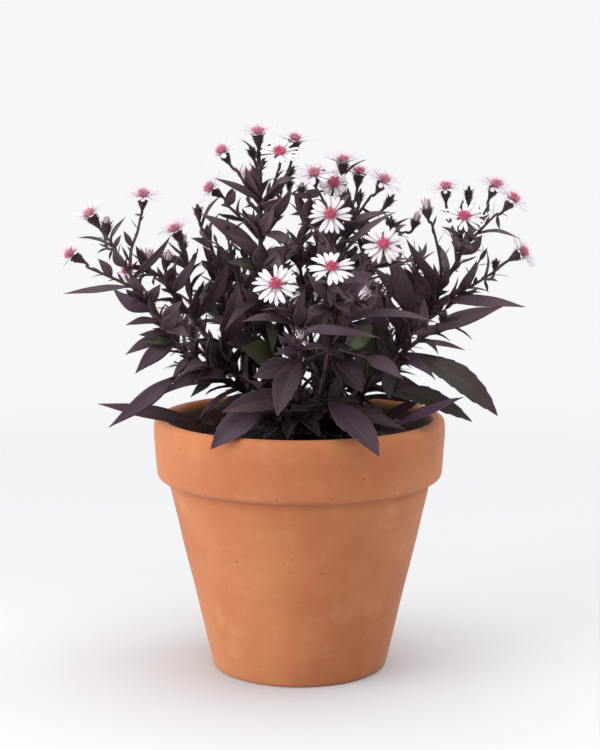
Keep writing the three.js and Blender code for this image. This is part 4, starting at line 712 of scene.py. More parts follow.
def open_heads():
    """The open heads; those from FAR_HEADS have no solids of their own."""
    return [
        Head(number, stem, at, faces, start, lift, *span)
        for number, (stem, at, faces, lift, start, *span) in enumerate(HEADS + FAR_HEADS)
    ]


def buds():
    return [
        Head(FIRST_BUD + k, stem, at, faces, start, size=size, tuft=tuft)
        for k, (stem, at, faces, size, tuft, start) in enumerate(BUDS + MORE_BUDS)
    ]


# Node trees

def is_vector(value):
    if isinstance(value, Wire):
        return value.socket.type in ("VECTOR", "RGBA")
    return isinstance(value, (tuple, Vector))


class Wire:
    """A socket of a node tree. Arithmetic on it adds Math or Vector Math nodes."""

    def __init__(self, tree, socket):
        self.tree = tree
        self.socket = socket

    def join(self, operation, a, b):
        if is_vector(a) and is_vector(b):
            return self.tree.node("ShaderNodeVectorMath", {0: a, 1: b}, operation=operation)
        if is_vector(a) or is_vector(b):
            vector, number = (a, b) if is_vector(a) else (b, a)
            values = {"Vector": vector, "Scale": number}
            return self.tree.node("ShaderNodeVectorMath", values, operation="SCALE")
        return self.tree.node("ShaderNodeMath", {0: a, 1: b}, operation=operation)

    def __add__(self, other):
        return self.join("ADD", self, other)

    def __radd__(self, other):
        return self.join("ADD", other, self)

    def __sub__(self, other):
        return self.join("SUBTRACT", self, other)

    def __rsub__(self, other):
        return self.join("SUBTRACT", other, self)

    def __mul__(self, other):
        return self.join("MULTIPLY", self, other)

    def __rmul__(self, other):
        return self.join("MULTIPLY", other, self)

    def __truediv__(self, other):
        return self.join("DIVIDE", self, other)

    def __pow__(self, other):
        return self.join("POWER", self, other)

    def math(self, operation, *others):
        """A Math node on a value, with its second and third numbers."""
        return self.tree.node("ShaderNodeMath", dict(enumerate((self, *others))), operation=operation)

    def vector(self, operation, *others):
        """A Vector Math node on a vector."""
        return self.tree.node("ShaderNodeVectorMath", dict(enumerate((self, *others))), operation=operation)

    def parts(self):
        split = self.tree.node("ShaderNodeSeparateXYZ", {"Vector": self})
        return [Wire(self.tree, socket) for socket in split.socket.node.outputs]

    def between(self, low, high):
        """Rises smoothly from 0 at low to 1 at high."""
        values = {"Value": self, "From Min": low, "From Max": high}
        return self.tree.node("ShaderNodeMapRange", values, interpolation_type="SMOOTHSTEP")


class Tree:
    """Adds nodes to one node tree, for a material or for Geometry Nodes."""

    def __init__(self, nodes):
        self.nodes = nodes

    def node(self, kind, inputs=None, output=0, **settings):
        """Adds a node: its settings first, then the values or links of its sockets."""
        made = self.nodes.nodes.new(kind)
        for name, value in settings.items():
            setattr(made, name, value)
        sockets = [s for s in made.inputs if s.enabled]
        for key, value in (inputs or {}).items():
            socket = sockets[key] if isinstance(key, int) else next(s for s in sockets if s.name == key)
            for link in value if isinstance(value, list) else [value]:
                if isinstance(link, Wire):
                    self.nodes.links.new(link.socket, socket)
                else:
                    socket.default_value = (*link, 1) if socket.type == "RGBA" else link
        shown = [s for s in made.outputs if s.enabled]
        return Wire(self, shown[output]) if shown else made

    def combine(self, x, y, z):
        return self.node("ShaderNodeCombineXYZ", {"X": x, "Y": y, "Z": z})


class Growth(Tree):
    """A Geometry Nodes tree with named inputs."""

    SOCKETS = {int: "NodeSocketInt", float: "NodeSocketFloat", Vector: "NodeSocketVector"}

    def __init__(self, name, **inputs):
        super().__init__(bpy.data.node_groups.new(name, "GeometryNodeTree"))
        face = self.nodes.interface
        face.new_socket("Geometry", in_out="INPUT", socket_type="NodeSocketGeometry")
        for title, kind in inputs.items():
            face.new_socket(title, in_out="INPUT", socket_type=self.SOCKETS[kind])
        face.new_socket("Material", in_out="INPUT", socket_type="NodeSocketMaterial")
        face.new_socket("Geometry", in_out="OUTPUT", socket_type="NodeSocketGeometry")
        self.entry = self.node("NodeGroupInput").socket.node

    def given(self, title):
        return Wire(self, self.entry.outputs[title])

    def read(self, name, kind="FLOAT_VECTOR"):
        return self.node("GeometryNodeInputNamedAttribute", {"Name": name}, data_type=kind)

    def store(self, geometry, name, value, kind="FLOAT_VECTOR"):
        values = {"Geometry": geometry, "Name": name, "Value": value}
        return self.node("GeometryNodeStoreNamedAttribute", values, data_type=kind)

    def place(self, geometry, position):
        return self.node("GeometryNodeSetPosition", {"Geometry": geometry, "Position": position})

    def position(self):
        return self.node("GeometryNodeInputPosition")

    def random(self, seed, low=0.0, high=1.0):
        """A random number, or a vector between two others, for each point."""
        kind = "FLOAT_VECTOR" if isinstance(high, tuple) else "FLOAT"
        return self.node("FunctionNodeRandomValue", {"Min": low, "Max": high, "Seed": seed}, data_type=kind)

    def spread(self, points, unit, **more):
        return self.node("GeometryNodeInstanceOnPoints", {"Points": points, "Instance": unit, **more})

    def real(self, geometry):
        return self.node("GeometryNodeRealizeInstances", {"Geometry": geometry})

    def close(self, geometry):
        """Ends the tree: instances made real, doubles merged, smooth faces, and the material."""
        values = {"Geometry": self.real(geometry), "Distance": CLOSE_GAP}
        merged = self.node("GeometryNodeMergeByDistance", values)
        smooth = self.node("GeometryNodeSetShadeSmooth", {"Geometry": merged})
        values = {"Geometry": smooth, "Material": self.given("Material")}
        self.node("NodeGroupOutput", {"Geometry": self.node("GeometryNodeSetMaterial", values)})
        return self.nodes


def grow(name, source, group, material, **inputs):
    """Runs a tree on a mesh and leaves the plain mesh that it makes as one object."""
    piece = bpy.data.objects.new(name, source)
    bpy.context.scene.collection.objects.link(piece)
    growth = piece.modifiers.new("growth", "NODES")
    growth.node_group = group
    values = {**inputs, "Material": material}
    for item in group.interface.items_tree:
        if item.in_out == "INPUT" and item.name in values:
            growth[item.identifier] = values[item.name]
    depsgraph = bpy.context.evaluated_depsgraph_get()
    grown = piece.evaluated_get(depsgraph)
    mesh = bpy.data.meshes.new_from_object(grown, preserve_all_data_layers=True, depsgraph=depsgraph)
    piece.modifiers.clear()
    piece.data = mesh
    mesh.name = name
    if not mesh.polygons:
        raise RuntimeError("nothing grew on " + name)
    for spare in [a.name for a in mesh.attributes if a.name in BLADE_SIZES]:
        mesh.attributes.remove(mesh.attributes[spare])
    return piece


def settle(piece, slot, *nodes):
    """Hangs a piece under the root body and hides the solids that it stands for; the slot is not used."""
    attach(piece, "root")
    if nodes:
        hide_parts(*nodes)


# Blades: leaves, bracts, rays and scales

BLADE_SIZES = {
    **dict.fromkeys(("root", "middle", "tip", "side"), "FLOAT_VECTOR"),
    **dict.fromkeys(("half", "thick", "twist", "sway", "phase"), "FLOAT"),
}


def blade_row(root, tip, top, width, arch, thick=0.45, twist=0.0, sway=0.0, phase=0.0, look=(0.5, 0, 0)):
    """One blade: it bends from root to tip in the plane of its top, by its arch. Sizes are in mm."""
    chord = tip - root
    along = chord.normalized()
    up = (top - along * top.dot(along)).normalized()
    return {
        "root": root * MM,
        "middle": (root + chord * 0.5 + up * 2 * arch) * MM,
        "tip": tip * MM,
        "side": up.cross(along),
        "half": width / 2 * MM,
        "thick": thick * MM,
        "twist": twist,
        "sway": sway * MM,
        "phase": phase,
        "look": look,
    }


def blade_points(name, rows):
    """A mesh of loose points, one for each blade, that carry the blades' sizes."""
    mesh = bpy.data.meshes.new(name)
    mesh.vertices.add(len(rows))
    for key, kind in {**BLADE_SIZES, "look": "FLOAT_VECTOR"}.items():
        layer = mesh.attributes.new(key, kind, "POINT")
        if kind == "FLOAT":
            layer.data.foreach_set("value", [row[key] for row in rows])
        else:
            layer.data.foreach_set("vector", [x for row in rows for x in row[key]])
    return mesh


def leaf_outline(t):
    """Half the width of a leaf, as a share of its greatest, from its root at 0 to its tip at 1."""
    swell = ((t ** 0.9) * math.pi).math("SINE").math("MAXIMUM", 0) ** 1.15
    return swell + (1 - t) * 0.16


def broad_outline(t):
    """A broad leaf is widest past its middle and ends in a short point."""
    swell = ((t ** 1.2) * math.pi).math("SINE").math("MAXIMUM", 0) ** 0.95
    return swell + (1 - t) * 0.16


def ray_outline(t):
    """A strap that widens from its claw and ends bluntly."""
    claw = t.between(-0.15, 0.55) * 0.65 + 0.35
    past = ((t - 0.62) / 0.38).math("MAXIMUM", 0)
    return claw * (1 - past * past).math("MAXIMUM", 0).math("SQRT")


def scale_outline(t):
    """A scale is broad at its foot and drawn out to a point."""
    return (1 - t) ** 0.75 * (0.75 + (t * math.pi).math("SINE") * 0.45)


def blades_tree(name, outline):
    """A blade on every point, bent, folded and twisted as the point's sizes say."""
    tree = Growth(name, Ring=int, Steps=int, Fold=float, Rib=float, Wave=float, Tooth=float, Teeth=float)
    unit = tree.node(
        "GeometryNodeMeshCylinder",
        {"Vertices": tree.given("Ring"), "Side Segments": tree.given("Steps"), "Radius": 1, "Depth": 2},
        fill_type="NGON",
    )
    x, y, z = tree.position().parts()
    unit = tree.store(unit, "blade", tree.combine(x, z * 0.5 + 0.5, y))
    blades = tree.real(tree.spread(tree.given("Geometry"), unit))

    side_share, t, face = tree.read("blade").parts()
    root, middle, tip, side, half, thick, twist, sway, phase = [
        tree.read(key, kind) for key, kind in BLADE_SIZES.items()
    ]
    rest = 1 - t
    spine = root * (rest * rest) + middle * (2 * rest * t) + tip * (t * t) + side * (sway * 4 * rest * t)
    forward = ((middle - root) * rest + (tip - middle) * t).vector("NORMALIZE")
    normal = forward.vector("CROSS_PRODUCT", side)
    turn = twist * t
    flat = side * turn.math("COSINE") + normal * turn.math("SINE")
    raised = normal * turn.math("COSINE") - side * turn.math("SINE")

    edge = side_share.math("ABSOLUTE")
    reach = half * outline(t)
    tooth = ((t * tree.given("Teeth")).math("FRACT") - 0.5) * tree.given("Tooth")
    tooth = tooth * edge ** 6 * t.between(0.2, 0.45) * (1 - t.between(0.85, 1))
    flank = side_share * (reach + tooth)
    ripple = (t * RIPPLES + phase).math("SINE") * tree.given("Wave") * edge * edge
    below = (face * -50).between(-1, 1) * 0.7 + 0.3
    keel = (1 - edge * 2.5).math("MAXIMUM", 0) * below * rest * tree.given("Rib")
    body = face * thick * 0.5 * rest ** 0.35
    height = body + reach * (edge * tree.given("Fold") + ripple) - keel
    return tree.close(tree.place(blades, spine + flat * flank + raised * height))


def limbs_tree():
    """Round limbs along paths whose points carry a radius."""
    tree = Growth("limbs_on_paths", Sides=int, Smoothness=int)
    path = tree.node("GeometryNodeMeshToCurve", {"Mesh": tree.given("Geometry")})
    path = tree.node("GeometryNodeCurveSplineType", {"Curve": path}, spline_type="CATMULL_ROM")
    values = {"Geometry": path, "Resolution": tree.given("Smoothness")}
    path = tree.node("GeometryNodeSetSplineResolution", values)
    ring = tree.node("GeometryNodeCurvePrimitiveCircle", {"Resolution": tree.given("Sides"), "Radius": 1})
    values = {"Curve": path, "Profile Curve": ring, "Scale": tree.read("thick", "FLOAT"), "Fill Caps": True}
    return tree.close(tree.node("GeometryNodeCurveToMesh", values))


def path_mesh(name, paths):
    """A mesh of polylines. Each path is a list of points with radii, in mm."""
    mesh = bpy.data.meshes.new(name)
    points = [station for path in paths for station in path]
    edges = []
    start = 0
    for path in paths:
        edges += [(start + k, start + k + 1) for k in range(len(path) - 1)]
        start += len(path)
    mesh.from_pydata([p * MM for p, _ in points], edges, [])
    layer = mesh.attributes.new("thick", "FLOAT", "POINT")
    layer.data.foreach_set("value", [radius * MM for _, radius in points])
    return mesh


def florets_tree():
    """Florets on a low dome, wound outwards by the golden angle, each a small open trumpet."""
    tree = Growth(
        "florets_on_dome", Count=int, Radius=float, Rise=float, Length=float, Width=float,
        Pale=float, Seed=int, Turn=Vector, Centre=Vector,
    )
    count, radius = tree.given("Count"), tree.given("Radius")
    index = tree.node("GeometryNodeInputIndex")
    share = ((index + 0.5) / count).math("SQRT")
    turn = index * GOLDEN_ANGLE
    spot = tree.combine(
        turn.math("COSINE") * share * radius,
        turn.math("SINE") * share * radius,
        (1 - share * share) * tree.given("Rise"),
    )
    points = tree.node("GeometryNodePoints", {"Count": count, "Position": spot, "Radius": MM})
    points = tree.store(points, "chance", tree.random(tree.given("Seed")), "FLOAT")

    values = {"Vertices": 10, "Side Segments": 4, "Radius": 1, "Depth": 1}
    trumpet = tree.node("GeometryNodeMeshCylinder", values, fill_type="NGON")
    x, y, z = tree.position().parts()
    height = z + 0.5
    lobe = (y.math("ARCTAN2", x) * 5).math("COSINE") * 0.5 + 0.5
    flare = height.between(0.55, 1)
    wide = 0.42 + flare * (lobe * 0.75 - 0.12)
    lift = height - flare * lobe * 0.1
    trumpet = tree.place(trumpet, tree.combine(x * wide, y * wide, lift))
    trumpet = tree.store(trumpet, "floret", tree.combine(height, 0.0, tree.given("Pale")))
    values = {"Vertices": 5, "Side Segments": 1, "Radius Top": 0.05, "Radius Bottom": 0.2, "Depth": 0.75}
    style = tree.node("GeometryNodeMeshCone", values, fill_type="NGON")
    style = tree.node("GeometryNodeTransform", {"Geometry": style, "Translation": (0, 0, 0.72)})
    style = tree.store(style, "floret", (0.5, 1.0, 0.0))
    unit = tree.node("GeometryNodeJoinGeometry", {0: [trumpet, style]})

    x, y, _ = tree.position().parts()
    lean = tree.combine(x / radius * 0.75, y / radius * 0.75, 1.0)
    facing = tree.node("FunctionNodeAlignRotationToVector", {"Vector": lean}, axis="Z")
    size = 0.8 + tree.read("chance", "FLOAT") * 0.4
    wide = size * tree.given("Width")
    scale = tree.combine(wide, wide, size * tree.given("Length"))
    spread = tree.spread(points, unit, Rotation=facing, Scale=scale)
    core = tree.node("GeometryNodeMeshUVSphere", {"Segments": 16, "Rings": 8, "Radius": 1})
    squash = tree.combine(radius * 0.98, radius * 0.98, tree.given("Rise") * 1.15)
    core = tree.node("GeometryNodeTransform", {"Geometry": core, "Scale": squash})
    core = tree.store(core, "floret", (0.7, 0.0, 0.0))
    whole = tree.node("GeometryNodeJoinGeometry", {0: [spread, core]})
    turned = tree.node("FunctionNodeEulerToRotation", {"Euler": tree.given("Turn")})
    values = {"Geometry": whole, "Translation": tree.given("Centre"), "Rotation": turned}
    return tree.close(tree.node("GeometryNodeTransform", values))


def crumbs_tree():
    """Crumbs of soil strewn over the crust."""
    tree = Growth("crumbs_on_crust", Density=float, Size=float, Seed=int)
    seed = tree.given("Seed")
    values = {"Mesh": tree.given("Geometry"), "Density": tree.given("Density"), "Seed": seed}
    points = tree.node("GeometryNodeDistributePointsOnFaces", values)
    points = tree.store(points, "chance", tree.random(seed), "FLOAT")
    lump = tree.node("GeometryNodeMeshIcoSphere", {"Radius": 1, "Subdivisions": 2})
    turn = tree.random(TURN_SEED, low=(0, 0, 0), high=(ABOUT_ROUND,) * 3)
    turn = tree.node("FunctionNodeEulerToRotation", {"Euler": turn})
    stretch = tree.random(STRETCH_SEED, low=(0.5, 0.4, 0.35), high=(1.2, 0.9, 0.8))
    size = tree.read("chance", "FLOAT") ** 2.5 * 0.75 + 0.25
    spread = tree.spread(points, lump, Rotation=turn, Scale=stretch * (size * tree.given("Size")))
    values = {"Vector": tree.position(), "Scale": 900.0, "Detail": 1.0}
    rough = tree.node("ShaderNodeTexNoise", values, output=1, noise_dimensions="3D")
    pushed = tree.position() + (rough - (0.5, 0.5, 0.5)) * (tree.given("Size") * 0.8)
    return tree.close(tree.place(tree.real(spread), pushed))


# The plant, stem by stem

def smooth_curve(path):
    """Points along the smooth curve through a path, as the limb tree draws it."""
    ends = [path[0], *path, path[-1]]
    made = []
    for a, b, c, d in zip(ends, ends[1:], ends[2:], ends[3:]):
        for k in range(CURVE_STEPS):
            t = k / CURVE_STEPS
            bend = (a * 2 - b * 5 + c * 4 - d) * t * t + (b * 3 - a - c * 3 + d) * t ** 3
            made.append((b * 2 + (c - a) * t + bend) * 0.5)
    return made + [path[-1]]


def cup_profile(head):
    """Heights and radii of the cup or the closed bud, from its foot up."""
    if not head.size:
        return [(-5.4, 0.75), (-4.5, 1.15), (-3.2, 1.6), (-1.8, 1.95), (-0.35, 2.1)]
    top, depth, wide = head.size * head.tuft, head.depth, head.size * 0.23
    closed = [(-depth * 0.95, 0.9), (-depth * 0.75, wide * 0.75), (-depth * 0.4, wide), (0, wide * 0.85)]
    return closed + [(top * 0.4, wide * 0.55)]


class Stem:
    """One stem of the plant, with its shoots and the heads that it carries."""

    def __init__(self, index, name, heads):
        self.index = index
        self.name = name
        self.node = "stem_" + name
        self.shoots = STEMS[name] + MORE_SHOOTS.get(name, [])
        self.leafy = [(k, shoot) for k, shoot in enumerate(self.shoots) if shoot.leaves]
        self.heads = [head for head in heads if head.stem == name]
        self.limbs = self.limb_paths()
        self.first_twig = len(self.limbs)
        self.limbs += self.twigs(heads)
        curves = [smooth_curve([p for p, _ in limb]) for limb in self.limbs]
        self.curves = [list(zip(curve, curve[1:] + [curve[-1] * 2 - curve[-2]])) for curve in curves]
        self.places = [point for curve in curves for point in curve]
        self.tree = search_tree(self.places)

    def limb_paths(self):
        """The shoots, with radii. A shoot whose end carries a head runs on through its stalk into the cup."""
        limbs = []
        carried = set()
        for k, shoot in enumerate(self.shoots):
            path = [Vector(p) for p in shoot.path]
            a, b = shoot.thick
            limb = [(p, lerp(a, b, i / (len(path) - 1))) for i, p in enumerate(path)]
            if k == 0:
                limb.insert(0, (Vector((path[0].x, path[0].y, STEM_FOOT)), a))
            for head in self.heads:
                if head.number not in carried and (head.start - path[-1]).length < SAME_PLACE:
                    carried.add(head.number)
                    limb += self.stalk_and_cup(head, path[-1])[1:]
                    break
            limbs.append(limb)
        return limbs + [self.stalk_and_cup(h, h.start) for h in self.heads if h.number not in carried]

    def twigs(self, heads):
        """Short twigs by rule, up the leafy shoots."""
        made = []
        for k, shoot in self.leafy:
            line = Line(shoot.path)
            seed = TWIG_SEED + 10 * self.index + k
            count = math.floor(line.length / TWIG_SPACING)
            for i in range(count):
                share = 0.25 + 0.7 * (i + draw(seed, i)) / count
                here, ahead = line.at(share)
                out = outwards(ahead, i * LEAF_TURN + seed)
                long = lerp(18, 9, share) * (0.75 + 0.5 * draw(seed + 1, i))
                tip = here + (out * 0.8 + ahead * 0.8 + Vector((0, 0, 0.3))).normalized() * long
                middle = here.lerp(tip, 0.5) + out * long * 0.1
                if is_clear(heads, middle, tip):
                    made.append([(here, 0.5), (middle, 0.42), (tip, 0.28)])
        return made

    def stalk_and_cup(self, head, start):
        stalk = [(point, STALK_RADIUS) for point in head.stalk(start)]
        return stalk + [(head.point(height), radius) for height, radius in cup_profile(head)]

    def nearest(self, point):
        """The point of the stem's curves that is nearest."""
        return self.places[self.tree.find(point)[1]].copy()


def ruled_leaf(shoot, seed, index, share, attempt):
    """A leaf that follows the rule of its shoot: the leaves wind up it and grow smaller to its end."""
    root, ahead = Line(shoot.path).at(share)
    out = outwards(ahead, index * LEAF_TURN + seed + attempt * NEXT_TRY)
    a, b, _ = shoot.leaves
    length = lerp(a, b, share) * (0.8 + 0.35 * draw(seed, index)) * (1 - 0.1 * attempt)
    rise = 0.35 + 0.4 * draw(seed + 1, index)
    tip = root + (out + ahead * rise).normalized() * length
    tip.z -= SAG * length * length * (0.4 + draw(seed + 2, index))
    width = max(length * (SLENDER + 0.06 * draw(seed + 3, index)), LEAST_WIDTH)
    return root, tip, width, ahead + Vector((0, 0, 0.6)), length * 0.09


def solid_tips(node):
    """The corners of a stem's solid, where the tips of its leaves are found."""
    solid = bpy.data.objects[node]
    return search_tree([solid.matrix_world @ corner.co for corner in solid.data.vertices])


def ruled_leaves(stem):
    """The leaves that the stem's solid has by the rule, each at the place that it took there."""
    tips = solid_tips(stem.node)
    found = []
    for k, shoot in stem.leafy:
        count = math.floor(Line(shoot.path).length / shoot.leaves[2])
        for i in range(count):
            for attempt in range(TRIES):
                leaf = ruled_leaf(shoot, 10 * stem.index + k, i, (i + 0.6) / count, attempt)
                if tips.find(leaf[1] * MM)[2] < SAME_TIP:
                    if not is_bare(leaf[1]):
                        found.append(leaf)
                    break
    return found


def clear_of_pot(point):
    """Whether a point stands clear of the pot's rim and of the soil."""
    out = math.hypot(point.x, point.y)
    if point.z < SOIL_TOP + 2 and out < INNER_RIM_RADIUS:
        return False
    return point.z > POT_HEIGHT + 1 or out > RIM_RADIUS + 1.5 or out < INNER_RIM_RADIUS - 1.5


def clear_of_heads(point, heads):
    """Whether a point stays out of the cups, and out of the rays and discs of the open heads."""
    for head in heads:
        off = point - head.centre
        if -1 < off.dot(head.axis) < 5 and off.length < head.span * 0.55 and not head.size:
            return False
        if (point - head.point(-head.depth / 2)).length < head.depth * 0.5 + 2:
            return False
    return True


def is_clear(heads, *points):
    """Whether points stand clear of the pot, the soil and the heads."""
    return all(clear_of_pot(p) and clear_of_heads(p, heads) for p in points)


def is_bare(tip):
    return any((tip - Vector(place)).length < reach for place, reach in BARE)


def sprout(place, turn, spread, length, width, arch=0.08):
    """A small leaf at a turn round its limb; with spread 0 it lies along the limb, with 1 it stands off."""
    here, ahead = place
    ahead = (ahead - here).normalized()
    out = outwards(ahead, turn)
    tip = here + (out * spread + ahead * (1 - 0.6 * spread)).normalized() * length
    return here, tip, width, ahead * 0.8 - out * 0.4 + Vector((0, 0, 0.5)), length * arch


def filling_leaves(stem, heads, spacing, size):
    """More leaves between the others on the leafy lower part of each main shoot."""
    made = []
    for k, shoot in stem.leafy:
        curve = stem.curves[k]
        a, b, _ = shoot.leaves
        seed = FILLING_SEED + 10 * stem.index + k
        length = Line(shoot.path).length
        for i in range(math.floor(length / spacing)):
            share = 0.08 + 0.8 * (i + draw(seed, i)) * spacing / length
            place = curve[min(int(share * len(curve)), len(curve) - 1)]
            long = lerp(a, b * 0.75, share) * size * (0.6 + 0.5 * draw(seed + 1, i))
            spread = 0.5 + 0.45 * draw(seed + 2, i)
            wide = long * (lerp(0.26, 0.19, share) + 0.05 * draw(seed + 4, i))
            leaf = sprout(place, ABOUT_ROUND * draw(seed + 3, i), spread, long, wide)
            root, tip = leaf[:2]
            middle = root.lerp(tip, 0.6)
            if not is_bare(tip) and is_clear(heads, middle, tip):
                made.append((*leaf, inner_green(middle, draw(seed + 5, i))))
    return made


def inner_green(point, chance):
    """How green a leaf is: some of those in the shade of the middle stay green."""
    inner = max(0, 1 - math.hypot(point.x, point.y) / INNER_REACH)
    return inner * max(0, chance - 0.55) * 2


def mouth_leaves(stem, heads):
    """Low leaves round the foot of a stem, which fill the pot's mouth."""
    made = []
    seed = MOUTH_SEED + 20 * stem.index
    x, y, _ = stem.shoots[0].path[0]
    for i in range(MOUTH_LEAVES):
        root = stem.nearest(Vector((x, y, lerp(SOIL_TOP + 2, MOUTH_HEIGHT, draw(seed, i)))))
        turn = i * LEAF_TURN + seed
        out = Vector((math.cos(turn), math.sin(turn), 0))
        long = lerp(16, 30, draw(seed + 1, i))
        tip = root + out * long + Vector((0, 0, lerp(-6, 7, draw(seed + 2, i))))
        middle = root.lerp(tip, 0.6)
        if is_clear(heads, middle, tip):
            wide = long * (0.22 + 0.08 * draw(seed + 3, i))
            green = inner_green(middle, draw(seed + 4, i))
            made.append((root, tip, wide, Vector((0, 0, 1)) - out * 0.3, long * 0.12, green))
    return made


def bract_leaves(stem, heads, spacing):
    """Narrow curved bracts up the thin shoots and stalks, and small leaves up the main shoots."""
    made = []
    for k, curve in enumerate(stem.curves):
        seed = BRACT_SEED + 40 * stem.index + k
        leafy = k < len(stem.shoots) and stem.shoots[k].leaves
        twig = k >= stem.first_twig
        lengths = (11, 5.5) if leafy else (8.5, 5.5) if twig else (6.5, 3.6)
        walked = 0.0
        due = spacing * 0.6
        for i, (here, ahead) in enumerate(curve):
            walked += (ahead - here).length
            share = i / len(curve)
            if walked < due or here.z < SOIL_TOP + 8:
                continue
            due = walked + spacing * (0.6 + 0.8 * draw(seed, i)) * (0.7 if twig else 1)
            long = lerp(*lengths, share) * (0.7 + 0.6 * draw(seed + 1, i))
            wide = long * (lerp(0.25, 0.2, share) if leafy or twig else 0.18) + 0.15
            arch = 0.16 * draw(seed + 3, i) - 0.05
            leaf = sprout((here, ahead), i * LEAF_TURN, 0.4 + 0.35 * draw(seed + 2, i), long, wide, arch)
            bare = long > LONG_BRACT and is_bare(leaf[1])
            if not bare and is_clear(heads, leaf[1]) and clear_of_heads(here, heads):
                made.append(leaf)
    return made


def shade_at(point):
    """How deep a place lies in the plant, for the painted shade on leaves: 1 in the low middle, 0 outside."""
    off = Vector((c / reach for c, reach in zip(point - Vector(SHADE_MIDDLE), SHADE_REACH)))
    return min(max(SHADE_EDGE - off.length, 0.0), 1.0)


def leaf_rows(leaves, seed, thick=0.4, shaded=True):
    """Sizes and looks of leaves, each with its own slight twist and sway."""
    rows = []
    for i, (root, tip, width, top, arch, *rest) in enumerate(leaves):
        green = rest[0] if rest else 0.0
        if len(rest) > 1:
            shade = rest[1]
        else:
            shade = shade_at(root.lerp(tip, 0.6)) * (1 if shaded else OPEN_SHADE)
        chance = [draw(seed + k, i) for k in range(4)]
        length = (tip - root).length
        rows.append(blade_row(
            root, tip, Vector(top), width, arch, thick,
            twist=(chance[0] - 0.5) * 0.5, sway=(chance[1] - 0.5) * length * 0.12, phase=chance[2] * 6,
            look=(chance[3], green, shade),
        ))
    return rows


def cup_rows(head):
    """The scales of a cup or a bud: rows of small pointed bracts whose tips stand off."""
    rows = []
    seed = SCALE_SEED + head.number
    depth = head.depth
    profile = cup_profile(head)
    for j, (share, count) in enumerate(SCALE_ROWS + TOP_ROWS if head.size else SCALE_ROWS):
        height = -depth * share
        radius = profile[-1][1]
        for (z0, r0), (z1, r1) in zip(profile, profile[1:]):
            if z1 >= height:
                radius = lerp(r0, r1, (height - z0) / (z1 - z0))
                break
        radius = max(radius, 0.7)
        for i in range(count):
            chance = draw(seed, 20 * j + i)
            turn = (i + 0.5 * (j % 2) + 0.25 * chance) / count * 2 * math.pi
            long = depth * (0.36 + 0.1 * chance)
            root = head.point(height, turn, radius - 0.25)
            lean = radius * 0.45 + 0.3 * chance if share < 0.2 else radius + 0.8 + 0.9 * chance
            tip = head.point(height + long * 0.9, turn, lean)
            look = (chance, 1 - share, 0)
            rows.append(blade_row(root, tip, -head.out(turn), width=1.1, arch=0.3, thick=0.32, look=look))
    return rows


def tuft_rows(head):
    """The folded rays that close over a bud. Those that face the front are paler."""
    rows = []
    top, wide = head.size * head.tuft, head.size * 0.23
    seed = TUFT_SEED + head.number
    pink = 0.3 if head.front else 1
    for i in range(TUFT_RAYS):
        chance = draw(seed, i)
        turn = (i + 0.3 * chance) / TUFT_RAYS * 2 * math.pi
        inner = i % 2
        root = head.point(-0.3, turn, wide * (0.5 if inner else 0.78))
        spread = 0.2 if inner else 0.5 + 0.6 * chance * (head.tuft > 0.4)
        tip = head.point(top * (0.85 + 0.35 * chance), turn + 0.4, wide * spread)
        look = (chance, pink * 0.3, pink)
        rows.append(blade_row(
            root, tip, -head.out(turn), width=1.1, arch=-top * 0.07, thick=0.28, twist=0.3, look=look
        ))
    return rows


def ray_rows(head, width, count):
    """The rays of an open head, in two close layers."""
    rows = []
    seed = RAY_SEED + head.number
    # Painted shade: heads that don't face the front get lilac-grey rays
    lilac = 0.1 if head.front else 0.65
    pink = PINK_HEADS.get(head.number, 0.0)
    if not head.front:
        width *= SIDE_RAY_WIDTH
    for i in range(count):
        chance = [draw(seed + k, i) for k in range(4)]
        turn = (i + 0.6 * (chance[0] - 0.5)) / count * 2 * math.pi
        layer = 0.2 if i % 2 else -0.14
        far = head.span / 2 * (0.93 + 0.13 * chance[1])
        near = 1.5
        root = head.point(layer + near * head.lift, turn, near)
        bend = 0.5 * (chance[2] - 0.6)
        tip = head.point(layer + far * head.lift + bend, turn + 0.06 * (chance[3] - 0.5), far)
        rows.append(blade_row(
            root, tip, head.axis, width * (0.8 + 0.35 * chance[3]), 0.28 - bend * 0.3, 0.24,
            twist=(chance[2] - 0.5) * 0.5, sway=(chance[0] - 0.5) * 0.5, look=(chance[1], lilac, pink),
        ))
    return rows


# The pot and the soil

def fillet(corners, steps=6):
    """An outline with rounded corners; each corner is a radius, a height and the room for its rounding."""
    made = []
    for before, here, after in zip(corners[-1:] + corners[:-1], corners, corners[1:] + corners[:1]):
        corner, room = Vector(here[:2]), here[2]
        start = corner + (Vector(before[:2]) - corner).normalized() * room
        end = corner + (Vector(after[:2]) - corner).normalized() * room
        made += [arc(start, corner, end, k / steps) for k in range(steps + 1)]
    return made


def split_runs(outline, longest):
    """The outline with more points on its long straight runs."""
    made = []
    for a, b in zip(outline, outline[1:] + outline[:1]):
        count = max(1, math.ceil((b - a).length / longest))
        made += [a.lerp(b, k / count) for k in range(count)]
    return made


def turned_mesh(name, outline, sides, wander):
    """A closed outline turned round the Z axis; wander moves each point out or in, as by hand."""
    mesh = bpy.data.meshes.new(name)
    points, faces = [], []
    rows = len(outline)
    for i in range(sides):
        turn = i / sides * 2 * math.pi
        for radius, z in outline:
            points.append([c * MM for c in on_circle(radius + wander(turn, z), i / sides, z)])
    for i in range(sides):
        a, b = i * rows, (i + 1) % sides * rows
        for j in range(rows):
            k = (j + 1) % rows
            faces.append((a + j, b + j, b + k, a + k))
    mesh.from_pydata(points, [], faces)
    mesh.shade_smooth()
    return mesh


def inner_radius(z):
    """The radius of the pot's inner wall at a height."""
    return INNER_RIM_RADIUS - WALL_SLOPE * (POT_HEIGHT - LIP_ROUNDING - z)


